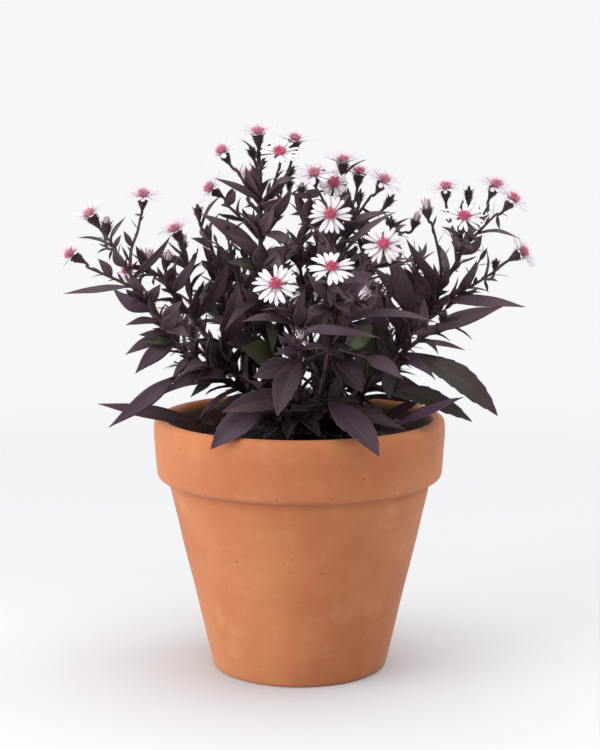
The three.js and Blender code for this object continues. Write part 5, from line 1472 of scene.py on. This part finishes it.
def pot_corners():
    """The pot's outline: along the foot, up the outside, over the rim, down the inside and to the drain."""
    band = POT_HEIGHT - RIM_BAND
    groove = POT_HEIGHT - GROOVE_DROP
    return [
        (DRAIN_RADIUS, 0, 0.8),
        (POT_FOOT_RADIUS, 0, 1.6),
        (BODY_TOP_RADIUS, band - 0.2, 2.2),
        (BAND_FOOT_RADIUS, band, 2.6),
        (RIM_RADIUS, groove - 3, 1.4),
        (RIM_RADIUS - 0.07, groove - 0.4, 1.1),
        (RIM_RADIUS - 0.25, POT_HEIGHT, 3.2),
        (INNER_RIM_RADIUS, POT_HEIGHT, 1.9),
        (inner_radius(POT_FLOOR), POT_FLOOR, 3),
        (DRAIN_RADIUS, POT_FLOOR, 1),
    ]


def crust_height(x, y):
    """The height of the soil, which is lumpy and highest in the middle."""
    out = math.hypot(x, y) / CRUST_RADIUS
    lumps = noise.fractal(Vector((x, y, 0)) * 0.11, 0.9, 2.1, 4) * 1.5
    fine = noise.noise(Vector((x, y, 5)) * 0.8) * 0.5
    return SOIL_TOP + 0.5 - 1.2 * out * out + (lumps + fine) * (1 - out ** 6)


def crust_grid(rings, sides):
    """Points of the crust in rings, the middle one first."""
    points = [Vector((0, 0, crust_height(0, 0)))]
    for k in range(1, rings + 1):
        radius = CRUST_RADIUS * k / rings
        for i in range(sides):
            x, y, _ = on_circle(radius, i / sides)
            points.append(Vector((x, y, crust_height(x, y))))
    return points


def ring_faces(rings, sides):
    """The faces between rings of points whose first point is the middle."""
    faces = [(0, 1 + i, 1 + (i + 1) % sides) for i in range(sides)]
    for k in range(rings - 1):
        a = 1 + k * sides
        for i in range(sides):
            j = (i + 1) % sides
            faces.append((a + i, a + sides + i, a + sides + j, a + j))
    return faces


def crust_mesh(name, rings, sides):
    mesh = bpy.data.meshes.new(name)
    mesh.from_pydata([p * MM for p in crust_grid(rings, sides)], [], ring_faces(rings, sides))
    return mesh


def soil_mesh(name, rings, sides):
    """The bed of soil: the crust, a wall inside the pot's and a flat underside."""
    points = crust_grid(rings, sides)
    faces = ring_faces(rings, sides)
    edge = len(points) - sides
    foot = len(points)
    radius = inner_radius(SOIL_FOOT) - 0.4
    points += [Vector(on_circle(radius, i / sides, SOIL_FOOT)) for i in range(sides)]
    for i in range(sides):
        j = (i + 1) % sides
        faces.append((edge + i, foot + i, foot + j, edge + j))
    faces.append([foot + i for i in reversed(range(sides))])
    mesh = bpy.data.meshes.new(name)
    mesh.from_pydata([p * MM for p in points], [], faces)
    mesh.shade_smooth()
    return mesh


def add_piece(name, mesh, material):
    piece = bpy.data.objects.new(name, mesh)
    mesh.materials.append(material)
    bpy.context.scene.collection.objects.link(piece)
    return piece


# Finishes

class Finish(Tree):
    """The node tree of one material."""

    def __init__(self, name):
        self.material = bpy.data.materials.new(name)
        self.material.use_nodes = True
        super().__init__(self.material.node_tree)
        self.nodes.nodes.clear()

    def where(self):
        """Object coordinates."""
        return self.node("ShaderNodeTexCoord", output=3)

    def carried(self, name, output=1):
        """A vector that the mesh carries, or with output 2 a number."""
        return self.node("ShaderNodeAttribute", output=output, attribute_name=name)

    def noise(self, scale, detail=2.0, where=None, rough=0.5):
        values = {"Vector": where or self.where(), "Scale": scale, "Detail": detail, "Roughness": rough}
        return self.node("ShaderNodeTexNoise", values)

    def mix(self, share, a, b):
        return self.node("ShaderNodeMix", {"Factor": share, "A": a, "B": b}, data_type="RGBA")

    def done(self, colour, roughness, height=None, depth=0.0005, strength=0.6, **constant):
        """Ends the tree in the shader; height feeds a bump."""
        values = {"Base Color": colour, "Roughness": roughness}
        values.update({name.replace("_", " "): value for name, value in constant.items()})
        if height is not None:
            bump = {"Strength": strength, "Distance": depth, "Height": height}
            values["Normal"] = self.node("ShaderNodeBump", bump)
        shader = self.node("ShaderNodeBsdfPrincipled", values)
        self.node("ShaderNodeOutputMaterial", {"Surface": shader})
        return self.material


def clay_finish(settings):
    """Terracotta: a warm body with faint turning lines, pits and pale bloom, with painted shade on the inner
    wall and under the rim band.
    """
    f = Finish("terracotta")
    where = f.where()
    x, y, z = where.parts()
    broad = f.noise(22.0, 3.0, where)
    bloom = f.noise(60.0, 4.0, where, 0.65).between(0.5, 0.78)
    lines = f.noise(1.0, 2.0, f.combine(x * 9, y * 9, z * 420))
    grain = f.noise(1400.0, 2.0, where)
    pits = 1 - f.noise(620.0, 1.0, where).between(0.24, 0.3)
    pits = pits * f.noise(130.0, 1.0, where).between(0.48, 0.64)
    colour = f.mix(broad.between(0.3, 0.7), settings.clay, settings.deep_clay)
    colour = f.mix(bloom * 0.3, colour, settings.bloom)
    colour = f.mix(lines.between(0.3, 0.8) * 0.25, colour, settings.deep_clay)
    colour = f.mix(grain.between(0.55, 0.75) * 0.12, colour, settings.bloom)
    colour = f.mix(pits * 0.6, colour, PIT)
    out = f.combine(x, y, 0.0).vector("LENGTH")
    wall = inner_radius(0) * MM + z * WALL_SLOPE
    # Painted shade: the inner wall below the rim is darkened
    inside = (wall - out).between(*INNER_SHADE_EDGE) * (1 - z.between(*RIM_FADE))
    colour = f.mix(inside * 0.95, colour, INNER_WALL_SHADE)
    # Painted shade in the crease under the ledge at the foot of the rim band
    ledge_shade = z.between(*LEDGE_SHADE_START) * (1 - z.between(*LEDGE_SHADE_END))
    colour = f.mix(ledge_shade * 0.3, colour, LEDGE_SHADE)
    height = lines * 0.5 + grain * 0.35 - pits * 1.5 + broad * 0.4
    return f.done(
        colour, 0.65 + grain * 0.2, height, 0.0003, 0.55, Specular_IOR_Level=0.2,
        Sheen_Weight=0.09, Sheen_Roughness=0.45,
    )


def soil_finish(settings):
    """Damp potting mix: dark fibres and crumbs."""
    f = Finish("soil")
    where = f.where()
    clods = f.noise(160.0, 4.0, where, 0.7)
    fibre = f.noise(1.0, 3.0, where.vector("MULTIPLY", (900.0, 260.0, 500.0)))
    colour = f.mix(clods.between(0.35, 0.7), DEEP_SOIL, settings.soil)
    colour = f.mix(fibre.between(0.62, 0.75) * 0.6, colour, FIBRE)
    return f.done(colour, 0.85 + clods * 0.15, clods + fibre * 0.5, 0.001, 0.8, Specular_IOR_Level=0.2)


def bark_finish(settings):
    """Stems: dark purple, with streaks along them and paler flecks."""
    f = Finish("stem")
    where = f.where()
    streaks = f.noise(1.0, 3.0, where.vector("MULTIPLY", (1500.0, 1500.0, 260.0)))
    patches = f.noise(90.0, 2.0, where)
    colour = f.mix(patches.between(0.35, 0.7), settings.stem, BARK_PATCH)
    colour = f.mix(streaks.between(0.55, 0.75) * 0.5, colour, BARK_STREAK)
    return f.done(colour, 0.5 + streaks * 0.2, streaks, 0.0002, 0.5, Specular_IOR_Level=0.3)


def leaf_finish(settings):
    """Leaves: near-black purple with a paler midrib, faint side veins, and green where the light is low;
    painted shade darkens those deep in the plant, painted light pales the high ones, and a painted highlight
    runs along the edges.
    """
    f = Finish("leaf")
    where = f.where()
    side, along, face = f.carried("blade").parts()
    tint, green, depth = f.carried("look").parts()
    edge = side.math("ABSOLUTE")
    patches = f.noise(150.0, 3.0, where, 0.6)
    fine = f.noise(1100.0, 2.0, where)
    colour = f.mix(tint * 0.6 + patches.between(0.3, 0.7) * 0.4, settings.purple, settings.umber)
    under = 1 - face.between(-0.2, 0.2)
    colour = f.mix(under * 0.6, colour, settings.underside)
    # Painted light: the high leaves lean to a paler colour, as if lit from above
    high = where.parts()[2].between(*SUNLIT_HEIGHTS)
    colour = f.mix(high * 0.5, colour, settings.sunlit)
    # Painted shade: leaves in the low middle, and those given a shade, are darkened, and their coat's gloss
    # fades with it
    off_middle = (where - (0.0, 0.0, SHADE_HEIGHT)).vector("MULTIPLY", SHADE_SCALE).vector("LENGTH")
    shaded = ((1 - off_middle.between(0.5, 1.15)) * 0.75).math("MAXIMUM", depth * 0.85)
    colour = f.mix(shaded, colour, LEAF_SHADE)
    colour = f.mix(green, colour, settings.green)
    half = side.between(-0.04, 0.04) * tint.between(0.4, 0.6)
    colour = f.mix(half * 0.5, colour, settings.umber)
    veins = ((along * 11 - edge * 2.2) * ABOUT_ROUND).math("COSINE").between(0.86, 1)
    veins = veins * (1 - edge) * edge.between(0.05, 0.2)
    rib = (1 - edge.between(0.03, 0.1)) * (1 - along.between(0.75, 1))
    colour = f.mix(veins * 0.18, colour, settings.vein)
    # The pale band along the edges is a painted highlight; the paler midrib is the leaf's own colour
    colour = f.mix(rib * 0.22 + edge.between(0.93, 1) * 0.3, colour, settings.vein)
    colour = f.mix(along.between(0.7, 1) * tint * 0.22, colour, LEAF_TIP)
    colour = f.mix(fine.between(0.55, 0.8) * 0.25, colour, LEAF_SPECK)
    height = patches * 0.6 + fine * 0.25 - veins * 0.5 - rib * 0.6
    return f.done(
        colour, 0.45 + patches * 0.2, height, 0.0004, 0.5, Specular_IOR_Level=0.12,
        Coat_Weight=(1 - shaded) * 0.25, Coat_Roughness=0.42,
    )


def scale_finish(settings):
    """Scales of the cups: olive in the middle, dark at the tip and pale at the edge."""
    f = Finish("cup_scale")
    side, along, _ = f.carried("blade").parts()
    tint = f.carried("look").parts()[0]
    edge = side.math("ABSOLUTE")
    speck = f.noise(1500.0, 2.0)
    colour = f.mix(tint, settings.cup, settings.purple)
    colour = f.mix(along.between(0.35, 0.9), colour, SCALE_TIP)
    colour = f.mix(edge.between(0.6, 0.95) * (1 - along) * 0.35, colour, SCALE_EDGE)
    colour = f.mix(speck.between(0.5, 0.8) * 0.3, colour, SCALE_SPECK)
    return f.done(colour, 0.5 + speck * 0.2, speck, 0.0002, 0.4, Specular_IOR_Level=0.3)


def ray_finish(settings):
    """Rays: white with faint lengthwise veins, lilac on their backs and pink where they are still folded;
    painted shade greys some rays and turns the rays of heads that turn away lilac-grey.
    """
    f = Finish("ray_petals")
    side, along, face = f.carried("blade").parts()
    tint, lilac, folded = f.carried("look").parts()
    veins = (side * 9).math("COSINE").between(0.55, 1)
    grain = f.noise(900.0, 2.0)
    under = 1 - face.between(-0.2, 0.2)
    # Painted shade: some rays, chosen at random, are greyer
    colour = f.mix(tint * 0.5 + grain * 0.2, settings.white, PAINTED_RAY_SHADE)
    # Painted shade: the rays of heads that don't face the front lean to lilac-grey; the backs of the rays are
    # lilac too
    colour = f.mix((under * 0.4 + lilac * 0.85).math("MINIMUM", 0.95), colour, settings.lilac)
    colour = f.mix(folded * (0.4 + along * 0.4 - tint * 0.35), colour, settings.folded)
    colour = f.mix(veins * 0.12, colour, RAY_VEIN)
    colour = f.mix((1 - along.between(0.0, 0.3)) * 0.35, colour, RAY_FOOT)
    return f.done(
        colour, 0.5 + grain * 0.15, veins + grain * 0.4, 0.00025, 0.5,
        Specular_IOR_Level=0.25, Subsurface_Weight=0.15, Subsurface_Radius=(0.001, 0.001, 0.001),
    )


def floret_finish(settings):
    """Disc florets: pale at the foot, raspberry above, coral or orange at the open tips."""
    f = Finish("disc_florets")
    height, style, pale = f.carried("floret").parts()
    chance = f.carried("chance", output=2)
    speck = f.noise(1800.0, 2.0)
    colour = f.mix(height.between(0.35, 0.8), FLORET_FOOT, settings.raspberry)
    tips = f.mix(chance.between(0.88, 0.96), settings.coral, settings.pollen)
    colour = f.mix(height.between(0.7, 1.0) * 0.8, colour, tips)
    colour = f.mix(style * 0.8, colour, FLORET_STYLE)
    colour = f.mix(speck.between(0.5, 0.8) * 0.3, colour, FLORET_SPECK)
    colour = f.mix(pale, colour, PALE_FLORET)
    return f.done(colour, 0.55 + speck * 0.15, speck, 0.0002, 0.4, Specular_IOR_Level=0.3)


def floor_finish(settings):
    """The studio floor, which darkens to the back and fades into the backdrop away from the pot."""
    f = Finish("studio_floor")
    where = f.where()
    grain = f.noise(40.0, 2.0, where)
    pale = settings.floor
    colour = f.mix(grain * 0.05, pale, tuple(c * 0.97 for c in pale))
    back = where.parts()[1].between(*FLOOR_FRONT_TO_BACK)
    colour = f.mix(back, colour, tuple(c * 0.91 for c in pale))
    cover = f.node("ShaderNodeBsdfDiffuse", {"Color": colour})
    clear = f.node("ShaderNodeBsdfTransparent")
    fade = where.vector("LENGTH").between(settings.floor_full, settings.floor_end)
    surface = f.node("ShaderNodeMixShader", {0: fade, 1: cover, 2: clear})
    f.node("ShaderNodeOutputMaterial", {"Surface": surface})
    return f.material


# Settings

def tone(name, text, default):
    return FloatVectorProperty(name=name, description=text, subtype="COLOR", min=0, max=1, default=default)


def metres(name, text, default):
    return FloatProperty(name=name, description=text, unit="LENGTH", precision=5, min=0, default=default)


def power(name, text, default):
    return FloatProperty(name=name, description=text, unit="POWER", min=0, default=default)


def factor(name, text, default):
    return FloatProperty(name=name, description=text, default=default)


class PotSettings(bpy.types.PropertyGroup):
    sides: IntProperty(name="Sides", description="Faces round the pot", default=180, min=24)
    wander: metres("Wander", "How far the hand-made wall wanders from round", 0.00018)
    clay: tone("Clay", "Colour of the clay", (0.44, 0.165, 0.066))
    deep_clay: tone("Deep clay", "Colour of its darker parts", (0.37, 0.122, 0.046))
    bloom: tone("Bloom", "Colour of its pale bloom", (0.56, 0.27, 0.16))
    crumb: metres("Crumb", "Size of the soil's crumbs", 0.0011)
    crumbs: FloatProperty(name="Crumbs", description="Crumbs per square metre", default=90000, min=0)
    soil: tone("Soil", "Colour of the soil", (0.035, 0.021, 0.014))


class FoliageSettings(bpy.types.PropertyGroup):
    fold: factor("Fold", "How far leaf edges rise beside the midrib", 0.2)
    rib: metres("Midrib", "Depth of the keel under the midrib", 0.0007)
    wave: factor("Wave", "Waviness of leaf edges", 0.06)
    tooth: metres("Tooth", "Depth of the teeth on broad leaves", 0.0006)
    filling: metres("Filling", "Space between the filling leaves on a shoot", 0.0032)
    bracts: metres("Bracts", "Space between the bracts on a shoot or stalk", 0.0028)
    purple: tone("Purple", "Colour of most leaves", (0.05, 0.0215, 0.046))
    # painted light on the high leaves
    sunlit: tone("Sunlit", "Colour that the high leaves lean to", (0.12, 0.075, 0.095))
    umber: tone("Umber", "Colour of the browner leaves", (0.047, 0.026, 0.03))
    underside: tone("Underside", "Colour of the leaves' undersides", (0.054, 0.022, 0.034))
    green: tone("Green", "Colour of the leaves that stay green", (0.024, 0.041, 0.006))
    vein: tone("Veins", "Colour of midribs and veins", (0.13, 0.075, 0.095))
    stem: tone("Stems", "Colour of the stems", (0.058, 0.027, 0.036))
    cup: tone("Cups", "Colour of the cups' scales", (0.06, 0.045, 0.028))


class HeadSettings(bpy.types.PropertyGroup):
    rays: IntProperty(name="Rays", description="Rays of a head that faces the front", default=17, min=5)
    side_rays: IntProperty(name="Side rays", description="Rays of the other open heads", default=13, min=5)
    ray_width: metres("Ray width", "Greatest width of a ray", 0.0019)
    florets: IntProperty(name="Florets", description="Florets in a disc", default=44, min=5)
    disc: metres("Disc", "Radius of the disc", 0.0018)
    rise: metres("Rise", "Height of the disc's dome", 0.001)
    floret: metres("Floret", "Length of a floret", 0.0016)
    floret_width: metres("Floret width", "Half the width of a floret", 0.00028)
    white: tone("White", "Colour of the rays", (0.7, 0.672, 0.69))
    lilac: tone("Lilac", "Colour of the backs of the rays", (0.5, 0.455, 0.525))
    folded: tone("Folded", "Colour of folded rays in buds", (0.6, 0.27, 0.35))
    raspberry: tone("Raspberry", "Colour of the florets", (0.48, 0.06, 0.135))
    coral: tone("Coral", "Colour of the florets' tips", (0.62, 0.09, 0.21))
    pollen: tone("Pollen", "Colour of the tips with pollen", (0.8, 0.38, 0.26))


class StudioSettings(bpy.types.PropertyGroup):
    backdrop: tone("Backdrop", "Colour of the backdrop", (0.93, 0.922, 0.945))
    floor: tone("Floor", "Colour of the floor", (0.582, 0.587, 0.598))
    floor_full: metres("Floor ends", "Distance at which the floor starts to fade", 0.28)
    floor_end: metres("Floor gone", "Distance at which it is gone", 0.75)
    key: power("Key", "Power of the key light", 31)
    overhead: power("Overhead", "Power of the light above", 13)
    fill: power("Fill", "Power of the light at the right", 3)
    lens: FloatProperty(name="Lens", description="Focal length", unit="CAMERA", default=83.49, min=1)
    distance: metres("Distance", "Camera's distance before the pot's axis", 0.7098)
    height: metres("Height", "Camera's height over the floor", 0.2293)
    tilt: FloatProperty(name="Tilt", description="Camera's tilt", subtype="ANGLE", default=math.radians(81.4))


# Operators

def all_stems():
    heads = open_heads() + buds()
    return [Stem(index, name, heads) for index, name in enumerate(STEMS)]


class ASTER_OT_pot(bpy.types.Operator):
    """Turns the terracotta pot, with its rim band, groove and drainage hole"""
    bl_idname = "aster.pot"
    bl_label = "Pot"

    def execute(self, context):
        settings = context.scene.aster_pot
        depth = settings.wander / MM

        def wander(turn, z):
            spot = Vector((math.cos(turn) * 2.2, math.sin(turn) * 2.2, z * 0.05))
            return depth * noise.fractal(spot, 0.8, 2.0, 3)

        outline = split_runs(fillet(pot_corners()), longest=2.5)
        mesh = turned_mesh("pot_turned", outline, settings.sides, wander)
        piece = add_piece("pot_turned", mesh, clay_finish(settings))
        settle(piece, "terracotta", "pot")
        return {"FINISHED"}


class ASTER_OT_soil(bpy.types.Operator):
    """Fills the pot with soil and strews crumbs over it"""
    bl_idname = "aster.soil"
    bl_label = "Soil"

    def execute(self, context):
        settings = context.scene.aster_pot
        material = soil_finish(settings)
        bed = soil_mesh("soil_bed", rings=40, sides=120)
        settle(add_piece("soil_bed", bed, material), "soil", "soil")
        crumbs = grow(
            "soil_crumbs", crust_mesh("soil_crumbs", rings=12, sides=48), crumbs_tree(), material,
            Density=settings.crumbs, Size=settings.crumb, Seed=4,
        )
        settle(crumbs, "soil")
        return {"FINISHED"}


class ASTER_OT_limbs(bpy.types.Operator):
    """Grows the stems, shoots and stalks"""
    bl_idname = "aster.limbs"
    bl_label = "Stems"

    def execute(self, context):
        material = bark_finish(context.scene.aster_foliage)
        tree = limbs_tree()
        for stem in all_stems():
            paths = path_mesh("limbs_" + stem.name, stem.limbs)
            piece = grow(paths.name, paths, tree, material, Sides=9, Smoothness=CURVE_STEPS)
            settle(piece, "foliage", stem.node)
        return {"FINISHED"}


class ASTER_OT_leaves(bpy.types.Operator):
    """Grows the leaves and the small bracts"""
    bl_idname = "aster.leaves"
    bl_label = "Leaves"

    def execute(self, context):
        settings = context.scene.aster_foliage
        material = leaf_finish(settings)
        tree = blades_tree("leaf_blades", leaf_outline)
        broad_tree = blades_tree("broad_blades", broad_outline)
        heads = open_heads() + buds()
        for stem in all_stems():
            leaves = LEAVES.get(stem.name, []) + MORE_LEAVES.get(stem.name, [])
            leaves = [(stem.nearest(Vector(root)), Vector(tip), *rest) for root, tip, *rest in leaves]
            seed = 100 * stem.index
            broad = leaf_rows([leaf for leaf in leaves if leaf[2] > BROAD_LEAF], seed, shaded=False)
            plain = leaf_rows([leaf for leaf in leaves if leaf[2] <= BROAD_LEAF], seed + 10, shaded=False)
            plain += leaf_rows(ruled_leaves(stem), seed + 15)
            filling = filling_leaves(stem, heads, settings.filling / MM, size=0.95)
            plain += leaf_rows(filling + mouth_leaves(stem, heads), seed + 20)
            bracts = leaf_rows(bract_leaves(stem, heads, settings.bracts / MM), seed + 30, thick=0.25)
            shape = {"Fold": settings.fold, "Wave": settings.wave}
            toothed = {"Ring": 16, "Steps": 40, "Rib": settings.rib, "Tooth": settings.tooth, "Teeth": 9.0}
            whole = {"Ring": 8, "Steps": 11, "Rib": settings.rib, "Tooth": 0.0, "Teeth": 0.0}
            small = {"Ring": 6, "Steps": 6, "Rib": settings.rib * 0.3, "Tooth": 0.0, "Teeth": 0.0}
            groups = [
                ("broad_leaves_", broad, broad_tree, toothed),
                ("leaves_", plain, tree, whole),
                ("bracts_", bracts, tree, small),
            ]
            for title, rows, group, form in groups:
                if rows:
                    name = title + stem.name
                    piece = grow(name, blade_points(name, rows), group, material, **shape, **form)
                    settle(piece, "foliage", stem.node)
        return {"FINISHED"}


class ASTER_OT_cups(bpy.types.Operator):
    """Sets the scales of cups and buds, and the folded rays of buds"""
    bl_idname = "aster.cups"
    bl_label = "Cups and buds"

    def execute(self, context):
        scales = blades_tree("scale_blades", scale_outline)
        folded = blades_tree("folded_blades", ray_outline)
        scale_material = scale_finish(context.scene.aster_foliage)
        ray_material = ray_finish(context.scene.aster_heads)
        form = {"Ring": 6, "Fold": 0.1, "Wave": 0.0, "Tooth": 0.0, "Teeth": 0.0}
        for stem in all_stems():
            cups = [row for head in stem.heads for row in cup_rows(head)]
            tufts = [row for head in stem.heads if head.tuft > OPEN_TUFT for row in tuft_rows(head)]
            for title, slot, rows, tree, material, steps, rib in (
                ("cups_", "foliage", cups, scales, scale_material, 4, 0.0002),
                ("folded_rays_", "ray_petals", tufts, folded, ray_material, 6, 0.0001),
            ):
                if rows:
                    name = title + stem.name
                    points = blade_points(name, rows)
                    piece = grow(name, points, tree, material, Steps=steps, Rib=rib, **form)
                    settle(piece, slot, stem.node)
        return {"FINISHED"}


class ASTER_OT_rays(bpy.types.Operator):
    """Sets the white rays of every open head"""
    bl_idname = "aster.rays"
    bl_label = "Rays"

    def execute(self, context):
        settings = context.scene.aster_heads
        tree = blades_tree("ray_blades", ray_outline)
        material = ray_finish(settings)
        for head in open_heads():
            shown = settings.rays if head.front else settings.side_rays
            rows = ray_rows(head, settings.ray_width / MM, shown + head.number % 2)
            name = f"rays_{head.number + 1:02d}"
            piece = grow(
                name, blade_points(name, rows), tree, material,
                Ring=8, Steps=9, Fold=0.12, Wave=0.03, Rib=0.00012, Tooth=0.0, Teeth=0.0,
            )
            settle(piece, "ray_petals", solid_of(head, "rays"))
        return {"FINISHED"}


class ASTER_OT_florets(bpy.types.Operator):
    """Sets the disc of florets of every open head"""
    bl_idname = "aster.florets"
    bl_label = "Disc florets"

    def execute(self, context):
        settings = context.scene.aster_heads
        tree = florets_tree()
        material = floret_finish(settings)
        for head in open_heads():
            name = f"florets_{head.number + 1:02d}"
            turn = Matrix((head.u, head.v, head.axis)).transposed().to_euler()
            centre = head.point(0.2 + 1.6 * head.lift if head.front else head.lift - 0.1) * MM
            wide = 1.0 if head.front else SIDE_DISC
            piece = grow(
                name, bpy.data.meshes.new(name), tree, material,
                Count=settings.florets, Radius=settings.disc * wide, Rise=settings.rise * wide,
                Length=settings.floret / wide, Width=settings.floret_width, Seed=head.number,
                Pale=0.0 if head.front else PALE_DISC, Turn=tuple(turn), Centre=tuple(centre),
            )
            settle(piece, "disc_florets", solid_of(head, "disc"))
        return {"FINISHED"}


def solid_of(head, part):
    """The solid that a part of an open head stands for; a far head's is its stem."""
    if head.number < len(HEADS):
        return f"bloom_{head.number + 1:02d}_{part}"
    return "stem_" + head.stem


class ASTER_OT_stage(bpy.types.Operator):
    """Sets the floor, the backdrop, the lights and the camera"""
    bl_idname = "aster.stage"
    bl_label = "Stage"

    def execute(self, context):
        settings = context.scene.aster_studio
        scene = context.scene
        mesh = bpy.data.meshes.new("studio_floor")
        sides = range(FLOOR_SIDES)
        ring = [on_circle(settings.floor_end * 1.02, i / FLOOR_SIDES) for i in sides]
        mesh.from_pydata(ring, [], [list(sides)])
        add_piece("studio_floor", mesh, floor_finish(settings))

        world = bpy.data.worlds.new("backdrop")
        world.use_nodes = True
        world.node_tree.nodes["Background"].inputs["Color"].default_value = (*settings.backdrop, 1)
        scene.world = world

        self.add_light("key", (-1.6, -0.7, 0.44), settings.key, 1.45, 0.73)
        self.add_light("overhead", (0.1, 0, 1.3), settings.overhead, 1.3, 1.3)
        self.add_light("fill", (1.2, 0.45, 0.45), settings.fill, 0.8, 0.6)

        lens = bpy.data.cameras.new("camera")
        lens.lens = settings.lens
        lens.shift_x = CAMERA_SHIFT
        lens.clip_end = 20
        camera = bpy.data.objects.new("camera", lens)
        camera.location = (0, -settings.distance, settings.height)
        camera.rotation_euler = (settings.tilt, 0, 0)
        scene.collection.objects.link(camera)
        scene.camera = camera
        scene.view_settings.view_transform = "Standard"
        return {"FINISHED"}

    def add_light(self, name, place, power, wide, high):
        """A soft box that looks at the pot and stays out of the picture itself."""
        light = bpy.data.lights.new(name, "AREA")
        light.shape = "RECTANGLE"
        light.size = wide
        light.size_y = high
        light.energy = power
        lamp = bpy.data.objects.new(name, light)
        lamp.location = place
        lamp.rotation_euler = (Vector((0, 0, 0.1)) - lamp.location).to_track_quat("-Z", "Y").to_euler()
        lamp.visible_camera = False
        bpy.context.scene.collection.objects.link(lamp)


class ASTER_PT_panel(bpy.types.Panel):
    """Buttons and sizes in the 3D view's sidebar"""
    bl_idname = "ASTER_PT_panel"
    bl_label = "Potted Calico Aster"
    bl_space_type = "VIEW_3D"
    bl_region_type = "UI"
    bl_category = "Aster"

    def draw(self, context):
        for operator in OPERATORS:
            self.layout.operator(operator.bl_idname)
        for name, group in SETTINGS.items():
            box = self.layout.box()
            box.label(text=group.__name__)
            for key in group.__annotations__:
                box.prop(getattr(context.scene, name), key)


SETTINGS = {
    "aster_pot": PotSettings,
    "aster_foliage": FoliageSettings,
    "aster_heads": HeadSettings,
    "aster_studio": StudioSettings,
}
OPERATORS = (
    ASTER_OT_pot,
    ASTER_OT_soil,
    ASTER_OT_limbs,
    ASTER_OT_leaves,
    ASTER_OT_cups,
    ASTER_OT_rays,
    ASTER_OT_florets,
    ASTER_OT_stage,
)
CLASSES = (*SETTINGS.values(), *OPERATORS, ASTER_PT_panel)


def register():
    for cls in CLASSES:
        bpy.utils.register_class(cls)
    for name, group in SETTINGS.items():
        setattr(bpy.types.Scene, name, PointerProperty(type=group))


def unregister():
    for name in SETTINGS:
        delattr(bpy.types.Scene, name)
    for cls in reversed(CLASSES):
        bpy.utils.unregister_class(cls)


def main():
    register()
    bpy.ops.aster.pot()
    bpy.ops.aster.soil()
    bpy.ops.aster.limbs()
    bpy.ops.aster.leaves()
    bpy.ops.aster.cups()
    bpy.ops.aster.rays()
    bpy.ops.aster.florets()
    bpy.ops.aster.stage()


if __name__ == "__main__":
    main()
